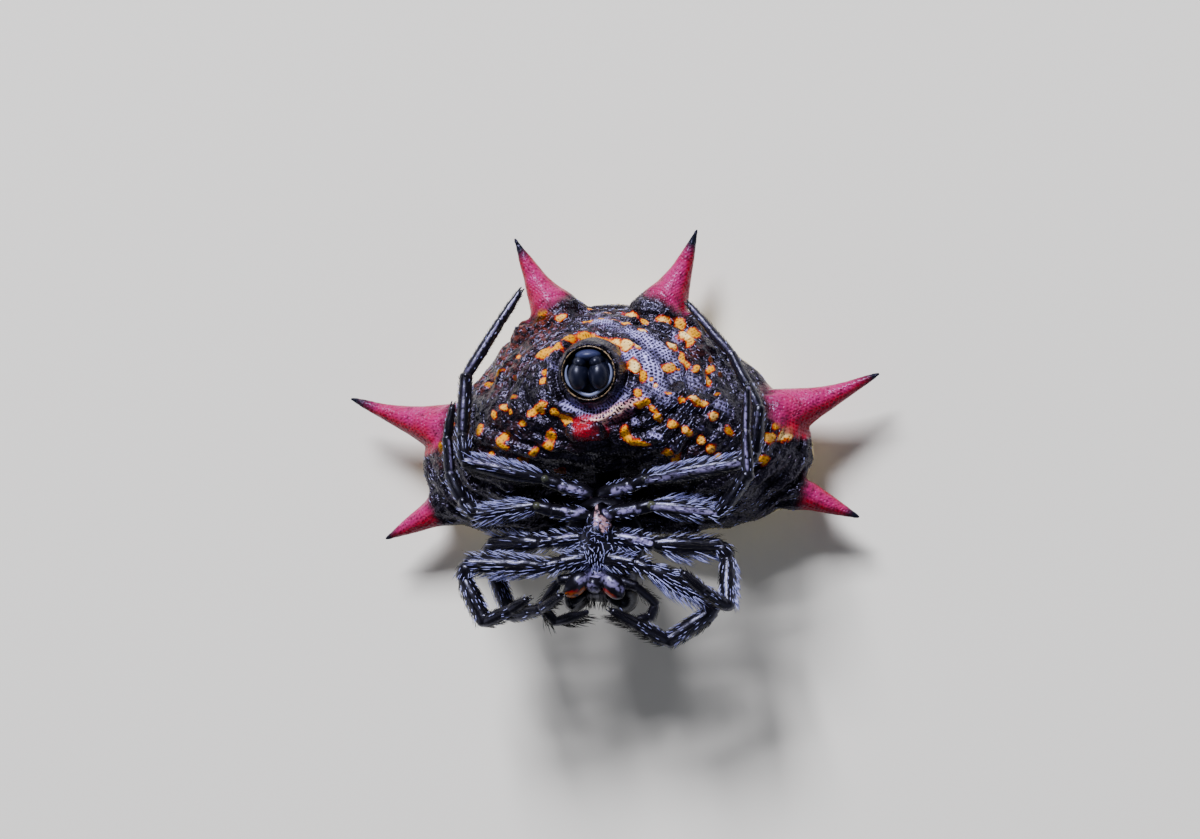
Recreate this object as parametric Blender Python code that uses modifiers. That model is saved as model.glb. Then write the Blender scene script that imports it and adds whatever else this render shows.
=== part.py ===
"""A spiny orb weaver, Gasteracantha, female, as a still life-size model.

The spider lies on the flat crown of its shield with its belly up, in the pose
that it hangs in at the hub of its web. X runs across the body, +Y points to
the rear and +Z out of the belly. The origin is the middle of the resting flat.

Sizes are in millimetres while the pieces are shaped. The finished meshes are
scaled to metres at the end. A left or right in a name is the picture's.
"""
from math import atan2, copysign, cos, pi, radians, sin, tan

import bmesh
import bpy
from mathutils import Matrix, Vector

# Gaps and scale
METRES = 0.001
GAP = 0.08
EYE_GAP = 0.03
WELD = 0.0005

# How the pose was read: millimetres in one picture pixel, the pixel of the origin,
# and how far the view is turned from square on to the belly
SPAN = 13.0
SPAN_PX = 532.5
VIEW_YAW = radians(12.0)
VIEW_ROLL = radians(2.7)
ORIGIN_PX = (625.0, 415.5)

# Abdomen
SHIELD_HALF_WIDTH = 4.8
SHIELD_FRONT = 2.9
SHIELD_REAR = 2.66
FRONT_SQUARENESS = 3.5
REAR_SQUARENESS = 2.1
REAR_TAPER = 0.28
TAPER_FROM_Y = -0.9
TAPER_TO_Y = 1.4
RIM_HEIGHT = 1.0
CROWN_RING = 4
CROWN_HALF = (2.5, 1.5)
CROWN_BEVEL = 0.25
VENTER_HEIGHT = 2.75
VENTER_FULLNESS = 0.72
SUMMIT_Y = 1.05
BAY_FLOOR = 1.22
BAY_BACK_Y = -0.75
BAY_FRONT_Y = -1.85
BAY_INNER_X = 1.35
BAY_OUTER_X = 2.4

# Raised ring and turret that carry the spinnerets
TURRET_RADIUS = 0.8
TURRET_TOP = 4.0
CUP_RADIUS = 0.64
CUP_DEPTH = 0.34

# Ventral tubercle and book lung covers
TUBERCLE_CENTRE = (-0.16, -0.4, 3.36)
TUBERCLE_SEMI = (0.52, 0.3, 0.38)
LUNG_X = 0.98
LUNG_Y = -1.0
LUNG_Z = 2.5
LUNG_SEMI = (0.62, 0.34, 0.3)

# Six spines: points of the axis on the right side and the radius at each
SPINES = {
    "lateral": (
        ((3.2, -0.45, 1.15), (3.9, -0.22, 1.15), (4.4, -0.06, 1.13), (4.85, 0.08, 1.12),
         (5.25, 0.22, 1.1), (5.75, 0.41, 1.08), (6.2, 0.6, 1.06), (6.5, 0.73, 1.05)),
        (0.8, 0.74, 0.56, 0.4, 0.29, 0.18, 0.09, 0.02)),
    "front": (
        ((3.1, -1.5, 1.1), (3.7, -1.78, 1.08), (4.2, -1.97, 1.05), (4.62, -2.14, 1.02),
         (5.06, -2.34, 1.0), (5.45, -2.52, 0.98), (5.84, -2.71, 0.96)),
        (0.8, 0.7, 0.5, 0.35, 0.24, 0.13, 0.02)),
    "rear": (
        ((0.9, 1.6, 1.2), (1.15, 2.2, 1.2), (1.35, 2.58, 1.2), (1.57, 2.95, 1.2),
         (1.78, 3.35, 1.2), (2.01, 3.85, 1.2), (2.24, 4.38, 1.2)),
        (0.86, 0.84, 0.74, 0.45, 0.29, 0.16, 0.02)),
}

# Cephalothorax, which is turned a little at the waist
HEAD_TURN = radians(-5.0)
HEAD_PIVOT = (0.0, -1.7, 0.0)
CARAPACE_Y = -3.05
CARAPACE_Z = 2.55
CARAPACE_SEMI = (1.02, 1.16, 1.08)
CARAPACE_BELLY = 0.4
HEAD_Y = -3.66
HEAD_Z = 2.35
HEAD_SEMI = (0.9, 0.78, 0.88)
HEAD_SQUARENESS = 0.72
STERNUM_Y = -2.88
STERNUM_TOP = 3.62
STERNUM_HALF_LENGTH = 0.84
STERNUM_HALF_WIDTH = 0.56
STERNUM_DEPTH = 0.62
LABIUM_CENTRE = (0.0, -3.86, 3.2)
LABIUM_SEMI = (0.2, 0.2, 0.32)
PEDICEL_RADIUS = 0.3
PEDICEL_Z = 2.3
PEDICEL_Y = (-2.2, -1.2)

# Chelicerae with their fangs
CHELICERA_CENTRE = (0.6, -4.3, 2.72)
CHELICERA_SEMI = (0.32, 0.38, 0.6)
CHELICERA_TILT = radians(12.0)
FANG_RADII = (0.13, 0.1, 0.07, 0.03)

# Eyes, by the side of the head: middle square of four, two close pairs at the corners
EYES = {
    "front_middle": ((0.17, -4.4, 1.82), 0.1),
    "rear_middle": ((0.21, -4.2, 1.52), 0.1),
    "front_side": ((0.8, -4.22, 1.98), 0.085),
    "rear_side": ((0.84, -4.0, 1.8), 0.085),
}
EYE_SINK = 0.35

# Legs: half thickness at the start, belly and end of each segment
LEG_SEGMENTS = (
    ("coxa", 0.2, 0.23, 0.21),
    ("trochanter", 0.19, 0.2, 0.19),
    ("femur", 0.2, 0.27, 0.21),
    ("patella", 0.2, 0.22, 0.2),
    ("tibia", 0.19, 0.22, 0.19),
    ("metatarsus", 0.17, 0.18, 0.15),
    ("tarsus", 0.14, 0.13, 0.08),
)
JOINT_WAIST = 0.9
JOINT_RING = 0.05
CLAW_LENGTH = 0.18
CLAW_RADIUS = 0.05
CLAW_DROP = -0.05

# Legs: each joint as its pixel in the picture and its height in millimetres, root to tip
LEGS = {
    "leg_4_left": (
        (590, 493, 3.25), (562, 486, 3.36), (545, 479, 3.42), (465, 462, 3.62),
        (463, 436, 3.5), (466, 376, 3.15), (500, 322, 2.75), (519, 293, 2.5)),
    "leg_3_left": (
        (588, 516, 3.2), (553, 511, 3.3), (537, 506, 3.32), (477, 516, 3.2),
        (463, 502, 3.15), (450, 474, 3.05), (447, 438, 3.0), (452, 408, 2.95)),
    "leg_2_left": (
        (588, 538, 3.15), (555, 541, 3.2), (541, 543, 3.15), (492, 545, 2.75),
        (489, 557, 2.62), (511, 617, 2.75), (541, 609, 3.35), (560, 596, 3.85)),
    "leg_1_left": (
        (590, 558, 3.25), (562, 563, 3.36), (548, 567, 3.42), (468, 564, 3.4),
        (464, 578, 3.4), (485, 622, 3.6), (510, 610, 3.95), (526, 600, 4.2)),
    "leg_4_right": (
        (602, 493, 3.25), (630, 486, 3.36), (645, 479, 3.42), (738, 463, 3.5),
        (754, 456, 3.35), (759, 408, 3.05), (731, 354, 2.7), (689, 305, 2.4)),
    "leg_3_right": (
        (603, 515, 3.2), (637, 509, 3.3), (651, 505, 3.32), (717, 513, 3.2),
        (729, 502, 3.4), (748, 474, 4.0), (745, 432, 3.95), (747, 388, 3.8)),
    "leg_2_right": (
        (603, 537, 3.15), (639, 541, 3.2), (652, 544, 3.15), (719, 546, 2.85),
        (728, 556, 2.85), (727, 606, 3.45), (703, 590, 3.85), (684, 573, 4.0)),
    "leg_1_right": (
        (602, 558, 3.25), (634, 563, 3.36), (648, 568, 3.38), (706, 598, 3.0),
        (713, 611, 3.0), (668, 641, 3.2), (637, 624, 3.65), (613, 611, 3.95)),
}

# Palps: half thickness of each segment, and the joints as for the legs
PALP_SEGMENTS = (
    ("coxa", 0.16, 0.18, 0.16),
    ("femur", 0.12, 0.14, 0.13),
    ("patella", 0.12, 0.14, 0.13),
    ("tarsus", 0.13, 0.16, 0.08),
)
PALPS = {
    "palp_left": (
        (581, 578, 3.3), (560, 580, 3.3), (541, 606, 3.0), (556, 622, 3.0), (587, 612, 3.35)),
    "palp_right": (
        (612, 579, 3.3), (636, 586, 3.3), (656, 604, 3.0), (650, 618, 3.0), (634, 620, 3.3)),
}
ENDITE_CENTRE = (0.36, -3.98, 3.46)
ENDITE_SEMI = (0.25, 0.34, 0.16)

# Spinnerets, in the cup of the turret
SPINNERETS = (
    ((0.27, -0.1), 0.26, 0.46),
    ((0.2, 0.24), 0.2, 0.42),
)
ANAL_LOBE = ((0.0, 0.42), 0.15, 0.3)
SPINNERET_HUB_RADIUS = 0.5
SPINNERET_HUB_DEPTH = 0.1

# Facets
BODY_SEGMENTS = 56
BODY_RINGS = 26
TUBE_RESOLUTION = 2

# Colours, linear, roughness and metallic
DARK = (0.012, 0.009, 0.014, 1.0)
SHELL = (0.03, 0.014, 0.016, 1.0)
GLOSS = (0.006, 0.006, 0.008, 1.0)


def view_point(px, py, height):
    """The point of the model at this height that the picture shows at this pixel."""
    scale = SPAN * cos(VIEW_YAW) / SPAN_PX
    across = (px - ORIGIN_PX[0]) * scale
    up = (ORIGIN_PX[1] - py) * scale
    level = across * cos(VIEW_ROLL) + up * sin(VIEW_ROLL)
    y = up * cos(VIEW_ROLL) - across * sin(VIEW_ROLL)
    x = (level + height * sin(VIEW_YAW)) / cos(VIEW_YAW)
    return Vector((x, y, height))


def smooth_step(low, high, value):
    """0 below low, 1 above high, with an even ease between."""
    t = min(1.0, max(0.0, (value - low) / (high - low)))
    return t * t * (3.0 - 2.0 * t)


def remove_object(obj):
    bpy.data.objects.remove(obj, do_unlink=True)


def make_material(name, colour, roughness, metallic=0.0):
    material = bpy.data.materials.new(name)
    material.use_nodes = True
    shader = material.node_tree.nodes["Principled BSDF"]
    shader.inputs["Base Color"].default_value = colour
    shader.inputs["Roughness"].default_value = roughness
    shader.inputs["Metallic"].default_value = metallic
    return material


def apply_modifiers(obj):
    """Replace the object's mesh by the one its modifiers give."""
    graph = bpy.context.evaluated_depsgraph_get()
    mesh = bpy.data.meshes.new_from_object(obj.evaluated_get(graph))
    obj.modifiers.clear()
    obj.data = mesh


def weld(mesh):
    work = bmesh.new()
    work.from_mesh(mesh)
    bmesh.ops.remove_doubles(work, verts=work.verts, dist=WELD)
    bmesh.ops.recalc_face_normals(work, faces=work.faces)
    work.to_mesh(mesh)
    work.free()


def ball(name, centre, semi, segments=16, rings=10, shape=None):
    """An ellipsoid whose unit points a shape function may move first."""
    work = bmesh.new()
    bmesh.ops.create_uvsphere(work, u_segments=segments, v_segments=rings, radius=1.0)
    for vert in work.verts:
        point = shape(vert.co.copy()) if shape else vert.co
        vert.co = Vector(centre) + Vector(point) * Vector(semi)
    mesh = bpy.data.meshes.new(name)
    work.to_mesh(mesh)
    work.free()
    obj = bpy.data.objects.new(name, mesh)
    bpy.context.scene.collection.objects.link(obj)
    return obj


def tube(name, points, radii, resolution=TUBE_RESOLUTION):
    """A closed round tube through the points, with a radius at each."""
    curve = bpy.data.curves.new(name, "CURVE")
    curve.dimensions = "3D"
    curve.bevel_depth = 1.0
    curve.bevel_resolution = resolution
    curve.use_fill_caps = True
    spline = curve.splines.new("POLY")
    spline.points.add(len(points) - 1)
    for spot, point, radius in zip(spline.points, points, radii):
        spot.co = (*point, 1.0)
        spot.radius = radius
    obj = bpy.data.objects.new(name + "_axis", curve)
    bpy.context.scene.collection.objects.link(obj)
    graph = bpy.context.evaluated_depsgraph_get()
    mesh = bpy.data.meshes.new_from_object(obj.evaluated_get(graph))
    solid = bpy.data.objects.new(name, mesh)
    solid.matrix_world = obj.matrix_world
    bpy.context.scene.collection.objects.link(solid)
    remove_object(obj)
    weld(mesh)
    return solid


def keep_largest_surface(obj):
    """Drop loose scraps and sealed hollows, and keep the largest closed surface."""
    work = bmesh.new()
    work.from_mesh(obj.data)
    left = set(work.faces)
    shells = []
    while left:
        shell = []
        edge_of = [left.pop()]
        while edge_of:
            face = edge_of.pop()
            shell.append(face)
            for edge in face.edges:
                for other in edge.link_faces:
                    if other in left:
                        left.remove(other)
                        edge_of.append(other)
        shells.append(shell)
    shells.sort(key=lambda shell: sum(face.calc_area() for face in shell))
    scraps = [face for shell in shells[:-1] for face in shell]
    bmesh.ops.delete(work, geom=scraps, context="FACES")
    work.to_mesh(obj.data)
    work.free()


def boolean(obj, pieces, operation, solver="EXACT"):
    """Join the pieces to the object or cut them from it, and remove them."""
    group = bpy.data.collections.new("pieces")
    for piece in pieces:
        group.objects.link(piece)
    step = obj.modifiers.new("step", "BOOLEAN")
    step.operation = operation
    step.operand_type = "COLLECTION"
    step.collection = group
    step.solver = solver
    apply_modifiers(obj)
    for piece in pieces:
        remove_object(piece)
    bpy.data.collections.remove(group)
    weld(obj.data)
    keep_largest_surface(obj)


def fuse(obj, pieces, solver="EXACT"):
    boolean(obj, pieces, "UNION", solver)


def grown_copy(obj, gap):
    """A copy whose surface stands out by the gap, to cut a neighbour with."""
    copy = obj.copy()
    copy.data = obj.data.copy()
    bpy.context.scene.collection.objects.link(copy)
    work = bmesh.new()
    work.from_mesh(copy.data)
    work.normal_update()
    moves = [vert.normal * gap * vert.calc_shell_factor() for vert in work.verts]
    for vert, move in zip(work.verts, moves):
        vert.co += move
    work.to_mesh(copy.data)
    work.free()
    return copy


def cut_clear(obj, neighbours, gap=GAP, solver="MANIFOLD"):
    """Cut the object back to the gap from each neighbour."""
    boolean(obj, [grown_copy(other, gap) for other in neighbours], "DIFFERENCE", solver)


def venter_height(x, y, share):
    """Height of the belly over the floor, where share is 0 at the summit and 1 at the rim."""
    dome = RIM_HEIGHT + VENTER_HEIGHT * max(0.0, 1.0 - share * share) ** VENTER_FULLNESS
    back = smooth_step(BAY_FRONT_Y, BAY_BACK_Y, y)
    bay = BAY_FLOOR + (dome - BAY_FLOOR) * back
    side = smooth_step(BAY_INNER_X, BAY_OUTER_X, abs(x))
    return min(dome, bay + (dome - bay) * side)


def shield_edge(angle):
    """Edge of the shield in this direction: squared at the front, drawn in to the rear."""
    across, along = cos(angle), sin(angle)
    n = REAR_SQUARENESS if along > 0.0 else FRONT_SQUARENESS
    length = SHIELD_REAR if along > 0.0 else SHIELD_FRONT
    x = copysign(abs(across) ** (2.0 / n), across) * SHIELD_HALF_WIDTH
    y = copysign(abs(along) ** (2.0 / n), along) * length
    return Vector((x * (1.0 - REAR_TAPER * smooth_step(TAPER_FROM_Y, TAPER_TO_Y, y)), y))


def crown_edge(angle):
    """Edge of the resting flat, a plain rectangle, in this direction."""
    across, along = cos(angle), sin(angle)
    reach = max(abs(across), abs(along))
    return Vector((across / reach * CROWN_HALF[0], along / reach * CROWN_HALF[1]))


def crown_point(angle, share):
    """A point of the back: the flat keeps its four corners only, and the rest swells to the rim."""
    start = sin(pi * CROWN_RING / BODY_RINGS)
    slope = (share - start) / (1.0 - start)
    if slope < -WELD:
        return Vector((0.0, 0.0, 0.0))
    if slope < WELD:
        corner = crown_edge(angle)
        x = CROWN_HALF[0] if corner.x > -WELD else -CROWN_HALF[0]
        y = CROWN_HALF[1] if corner.y > -WELD else -CROWN_HALF[1]
        return Vector((x, y, 0.0))
    flat = crown_edge(angle).lerp(shield_edge(angle), slope)
    swell = 1.0 - (1.0 - slope * slope) ** 0.5
    height = RIM_HEIGHT * (CROWN_BEVEL * slope + (1.0 - CROWN_BEVEL) * swell)
    return Vector((flat.x, flat.y, height))


def make_abdomen_body():
    """Shield and belly in one: a ball whose rings become the outline, drawn in to the summit."""
    work = bmesh.new()
    bmesh.ops.create_uvsphere(work, u_segments=BODY_SEGMENTS, v_segments=BODY_RINGS, radius=1.0)
    for vert in work.verts:
        angle = atan2(vert.co.y, vert.co.x)
        share = min(1.0, Vector((vert.co.x, vert.co.y)).length)
        if vert.co.z < -WELD:
            vert.co = crown_point(angle, share)
            continue
        edge = shield_edge(angle)
        x = edge.x * share
        y = edge.y * share + SUMMIT_Y * (1.0 - share) ** 1.5
        vert.co = (x, y, venter_height(x, y, share))
    mesh = bpy.data.meshes.new("abdomen")
    work.to_mesh(mesh)
    work.free()
    obj = bpy.data.objects.new("abdomen", mesh)
    bpy.context.scene.collection.objects.link(obj)
    weld(mesh)
    return obj


def mirrored(points):
    return [(-x, y, z) for x, y, z in points]


def make_spines():
    pieces = []
    for place, (points, radii) in SPINES.items():
        for side, axis in (("right", points), ("left", mirrored(points))):
            pieces.append(tube(f"spine_{place}_{side}", axis, radii, 3))
    return pieces


def make_turret():
    """The raised ring round the spinnerets, a turned wall with a cup in it."""
    profile = (
        (0.0, TURRET_TOP - CUP_DEPTH), (CUP_RADIUS * 0.9, TURRET_TOP - CUP_DEPTH),
        (CUP_RADIUS, TURRET_TOP - 0.06), (CUP_RADIUS + 0.05, TURRET_TOP),
        (TURRET_RADIUS - 0.03, TURRET_TOP - 0.03), (TURRET_RADIUS, TURRET_TOP - 0.16),
        (TURRET_RADIUS + 0.04, TURRET_TOP - 0.6), (0.0, TURRET_TOP - 0.9))
    mesh = bpy.data.meshes.new("turret")
    edges = [(i, i + 1) for i in range(len(profile) - 1)]
    mesh.from_pydata([(r, 0.0, z) for r, z in profile], edges, [])
    obj = bpy.data.objects.new("turret", mesh)
    bpy.context.scene.collection.objects.link(obj)
    turn = obj.modifiers.new("turn", "SCREW")
    turn.axis = "Z"
    turn.steps = 32
    turn.render_steps = 32
    turn.use_merge_vertices = True
    turn.merge_threshold = 0.0001
    apply_modifiers(obj)
    weld(obj.data)
    for vert in obj.data.vertices:
        vert.co.y += SUMMIT_Y
    return obj


def make_pedicel():
    """The short waist between the two halves of the body."""
    ends = [(0.0, y, PEDICEL_Z) for y in PEDICEL_Y]
    return tube("pedicel", ends, [PEDICEL_RADIUS, PEDICEL_RADIUS])


def make_abdomen():
    body = make_abdomen_body()
    turret = make_turret()
    tubercle = ball("tubercle", TUBERCLE_CENTRE, TUBERCLE_SEMI)
    lungs = [ball("lung", (side * LUNG_X, LUNG_Y, LUNG_Z), LUNG_SEMI) for side in (-1, 1)]
    fuse(body, make_spines() + [turret, tubercle] + lungs)
    cup = tube("cup", [(0.0, SUMMIT_Y, TURRET_TOP + 0.5), (0.0, SUMMIT_Y, TURRET_TOP - CUP_DEPTH)],
               [CUP_RADIUS, CUP_RADIUS], 6)
    boolean(body, [cup], "DIFFERENCE")
    waist = make_pedicel()
    cut_clear(body, [waist])
    remove_object(waist)
    return body


def make_spinnerets():
    base = TURRET_TOP - CUP_DEPTH + GAP
    hub_semi = (SPINNERET_HUB_RADIUS, SPINNERET_HUB_RADIUS, SPINNERET_HUB_DEPTH)
    hub = ball("spinnerets", (0.0, SUMMIT_Y, base + SPINNERET_HUB_DEPTH), hub_semi)
    lobes = []
    for (x, y), radius, height in SPINNERETS:
        for side in (-1, 1):
            foot = Vector((side * x, SUMMIT_Y + y, base + 0.08))
            top = Vector((side * x * 0.55, SUMMIT_Y + y * 0.6, base + height))
            lobes.append(tube("lobe", [foot, foot.lerp(top, 0.6), top],
                              [radius, radius * 0.95, radius * 0.45]))
    (x, y), radius, height = ANAL_LOBE
    foot = Vector((x, SUMMIT_Y + y * 0.8, base + 0.08))
    top = Vector((x, SUMMIT_Y + y * 0.7, base + height))
    lobes.append(tube("lobe", [foot, foot.lerp(top, 0.6), top], [radius, radius, radius * 0.5]))
    fuse(hub, lobes)
    return hub


def head_turn_matrix():
    pivot = Matrix.Translation(Vector(HEAD_PIVOT))
    return pivot @ Matrix.Rotation(HEAD_TURN, 4, "Z") @ pivot.inverted()


def turn_head(obj):
    """Turn a piece of the head end about the waist."""
    obj.data.transform(head_turn_matrix())


def squared(point):
    """Push a ball's points out towards a rounded box."""
    n = HEAD_SQUARENESS
    return Vector([abs(v) ** n * (1 if v > 0 else -1) for v in point])


def flat_bellied(point):
    if point.z > 0.0:
        point.z *= CARAPACE_BELLY
    return point


def shield_shaped(point):
    """A plate that is broad towards the mouth and drawn to a point at the rear."""
    broad = 1.0 - 0.55 * smooth_step(-0.3, 1.0, point.y) - 0.2 * smooth_step(0.3, 1.0, -point.y)
    return Vector((point.x * broad, point.y, point.z))


def make_cephalothorax_forms():
    """Carapace, head, sternum, lip and waist, each a plain closed form."""
    carapace = ball("cephalothorax", (0.0, CARAPACE_Y, CARAPACE_Z), CARAPACE_SEMI, 28, 16, flat_bellied)
    head = ball("head", (0.0, HEAD_Y, HEAD_Z), HEAD_SEMI, 24, 14, squared)
    sternum = ball("sternum", (0.0, STERNUM_Y, STERNUM_TOP - STERNUM_DEPTH),
                   (STERNUM_HALF_WIDTH, STERNUM_HALF_LENGTH, STERNUM_DEPTH), 24, 12, shield_shaped)
    labium = ball("labium", LABIUM_CENTRE, LABIUM_SEMI, 14, 8)
    forms = [carapace, head, sternum, labium]
    for form in forms:
        turn_head(form)
    return forms + [make_pedicel()]


def make_chelicera(side):
    """A stout ovoid with its fang folded across the end."""
    x, y, z = CHELICERA_CENTRE
    name = "chelicera_left" if side < 0 else "chelicera_right"
    obj = ball(name, (0.0, 0.0, 0.0), CHELICERA_SEMI, 18, 12)
    for vert in obj.data.vertices:
        shift = vert.co.z * sin(CHELICERA_TILT)
        vert.co = (side * x + vert.co.x * 0.98, y + vert.co.y - shift * 0.6, z + vert.co.z)
    end = Vector((side * (x - 0.02), y - 0.12, z + CHELICERA_SEMI[2] * 0.88))
    fang = [end, end + Vector((side * -0.16, 0.06, 0.04)), end + Vector((side * -0.28, 0.16, 0.0)),
            end + Vector((side * -0.36, 0.26, -0.07))]
    fuse(obj, [tube("fang", fang, FANG_RADII)])
    turn_head(obj)
    return obj


def bend_room(places, index, radius):
    """How far from a joint the next ring has to stand, so that the bend doesn't cross itself."""
    if index == 0 or index == len(places) - 1:
        return 0.0
    before = places[index] - places[index - 1]
    after = places[index + 1] - places[index]
    return radius * tan(before.angle(after) / 2.0) + JOINT_RING


def limb_rings(places, segments):
    """Points and radii along a limb: each segment swells between its narrower joints."""
    points = [places[0]]
    radii = [segments[0][1]]
    for index, (_, first, belly, last) in enumerate(segments):
        start, end = places[index], places[index + 1]
        length = (end - start).length
        low = bend_room(places, index, first) / length
        high = 1.0 - bend_room(places, index + 1, last) / length
        if low >= high:
            raise ValueError("a segment is too short for its bends")
        for share in (0.0, 0.4, 1.0):
            at = low + (high - low) * share
            points.append(start.lerp(end, at))
            radii.append(first + (belly - first) * share / 0.4 if share <= 0.4 else last)
        if index + 1 < len(segments):
            points.append(end)
            radii.append(min(last, segments[index + 1][1]) * JOINT_WAIST)
    if (points[1] - points[0]).length < JOINT_RING:
        del points[0], radii[0]
    return points, radii


def make_limb(name, joints, segments, claw):
    """One round limb through its joints, with a hooked claw at the tip if it has one."""
    places = [view_point(*joint) for joint in joints]
    points, radii = limb_rings(places, segments)
    ahead = (places[-1] - places[-2]).normalized()
    if claw:
        points += [places[-1] + ahead * CLAW_LENGTH * 0.3, places[-1] + ahead * CLAW_LENGTH * 0.7,
                   places[-1] + ahead * CLAW_LENGTH + Vector((0.0, 0.0, CLAW_DROP))]
        radii += [CLAW_RADIUS, CLAW_RADIUS * 0.8, CLAW_RADIUS * 0.3]
    else:
        points.append(places[-1] + ahead * segments[-1][3] * 0.7)
        radii.append(segments[-1][3] * 0.5)
    return tube(name, points, radii)


def make_palp(name, joints):
    side = -1 if name.endswith("left") else 1
    x, y, z = ENDITE_CENTRE
    palp = make_limb(name, joints, PALP_SEGMENTS, False)
    endite = ball("endite", (side * x, y, z), ENDITE_SEMI, 16, 10)
    turn_head(endite)
    fuse(palp, [endite])
    return palp


def make_eyes(head):
    """Eight round eyes, each sunk in the head by a share of its own radius."""
    eyes = []
    for place, ((x, y, z), radius) in EYES.items():
        for side, label in ((-1, "left"), (1, "right")):
            guess = head_turn_matrix() @ Vector((side * x, y, z))
            hit, point, normal, _ = head.closest_point_on_mesh(guess)
            if not hit:
                raise ValueError("the head is too far from an eye")
            centre = point - normal * radius * EYE_SINK
            eyes.append(ball(f"eye_{place}_{label}", centre, (radius,) * 3, 12, 7))
    return eyes


def finish(obj, collection, material):
    """Scale the mesh to metres, shade it and file it."""
    for vert in obj.data.vertices:
        vert.co *= METRES
    obj.data.materials.clear()
    obj.data.materials.append(material)
    obj.data.shade_smooth()
    obj.data.set_sharp_from_angle(angle=pi / 4.0)
    for old in list(obj.users_collection):
        old.objects.unlink(obj)
    collection.objects.link(obj)


def main():
    for old in list(bpy.data.objects):
        remove_object(old)
    group = bpy.data.collections.new("spiny_orb_weaver")
    bpy.context.scene.collection.children.link(group)

    abdomen = make_abdomen()
    spinnerets = make_spinnerets()
    chelicerae = [make_chelicera(side) for side in (-1, 1)]
    palps = [make_palp(name, joints) for name, joints in PALPS.items()]
    forms = make_cephalothorax_forms()
    legs = [make_limb(name, joints, LEG_SEGMENTS, True) for name, joints in LEGS.items()]
    for limb in legs:
        cut_clear(limb, forms)
    body = forms[0]
    fuse(body, forms[1:])
    eyes = make_eyes(body)
    cut_clear(body, chelicerae + palps)
    cut_clear(body, eyes, EYE_GAP)

    shell = make_material("shell", SHELL, 0.35)
    dark = make_material("dark_cuticle", DARK, 0.4)
    gloss = make_material("glossy_black", GLOSS, 0.12)
    finish(abdomen, group, shell)
    for obj in [body] + legs + palps:
        finish(obj, group, dark)
    for obj in chelicerae + eyes + [spinnerets]:
        finish(obj, group, gloss)


main()
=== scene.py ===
"""The looks of a female spiny orb weaver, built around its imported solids.

The spider lies on its back with its belly up. Shapes are worked out in millimetres in the
model's own frame, X across, +Y to the rear and +Z out of the belly, and each finished mesh
is scaled to metres. Left and right are the picture's.
"""

from math import cos, pi, radians, sin

import bmesh
import bpy
import numpy as np
from mathutils import Matrix, Vector


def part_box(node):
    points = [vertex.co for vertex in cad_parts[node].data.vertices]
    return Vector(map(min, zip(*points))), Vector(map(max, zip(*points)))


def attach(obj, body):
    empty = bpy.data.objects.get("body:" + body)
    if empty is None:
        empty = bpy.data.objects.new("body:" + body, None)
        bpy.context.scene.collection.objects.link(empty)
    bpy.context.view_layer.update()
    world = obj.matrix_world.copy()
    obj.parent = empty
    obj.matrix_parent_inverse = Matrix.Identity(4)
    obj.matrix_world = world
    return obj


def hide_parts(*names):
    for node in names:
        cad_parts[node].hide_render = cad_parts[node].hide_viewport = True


bl_info = {
    "name": "Spiny orb weaver",
    "version": (1, 0, 0),
    "blender": (4, 5, 0),
    "location": "3D View > Sidebar > Spider",
    "description": "Builds the skin, spines, setae and markings of a spiny orb weaver",
    "category": "Add Mesh",
}

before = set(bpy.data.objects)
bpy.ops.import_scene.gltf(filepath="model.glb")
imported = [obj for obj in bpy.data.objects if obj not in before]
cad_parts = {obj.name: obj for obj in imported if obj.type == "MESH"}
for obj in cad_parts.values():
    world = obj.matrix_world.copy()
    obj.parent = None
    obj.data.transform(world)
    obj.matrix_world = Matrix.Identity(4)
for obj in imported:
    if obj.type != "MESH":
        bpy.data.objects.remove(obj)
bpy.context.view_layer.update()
MM = 1000.0

# How the pose was read: millimetres in a picture pixel, the pixel over the origin, and how
# far the view is turned from square on to the belly
IMAGE_SIZE = (1200, 839)
SPAN = 13.0
SPAN_PX = 532.5
VIEW_YAW = radians(12.0)
VIEW_ROLL = radians(2.7)
ORIGIN_PX = (625.0, 415.5)
PIXEL = SPAN * cos(VIEW_YAW) / SPAN_PX

# Shield and belly, as in the solids
SHIELD_HALF_WIDTH = 4.8
SHIELD_FRONT = 2.9
SHIELD_REAR = 2.66
FRONT_SQUARENESS = 3.5
REAR_SQUARENESS = 2.1
REAR_TAPER = 0.28
TAPER_Y = (-0.9, 1.4)
RIM_HEIGHT = 1.0
CROWN_SHARE = 0.42
VENTER_HEIGHT = 2.75
VENTER_FULLNESS = 0.72
SUMMIT_Y = 1.05
FLOW_STRETCH = 1.6
BAY_FLOOR = 1.22
BAY_Y = (-1.85, -0.75)
BAY_X = (1.35, 2.4)
TURRET_RADIUS = 0.8
TURRET_TOP = 4.0
CUP_RADIUS = 0.64
CUP_DEPTH = 0.34
TUBERCLE = ((-0.16, -0.4, 3.36), (0.52, 0.3, 0.38))
LUNG = ((0.98, -1.0, 2.5), (0.62, 0.34, 0.3))
FURROW_FOLD = ((0.0, -0.98, 2.55), (0.7, 0.34, 0.3))
HAUNCH = ((1.9, 1.9, 1.3), (0.5, 0.5, 0.5))

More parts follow.
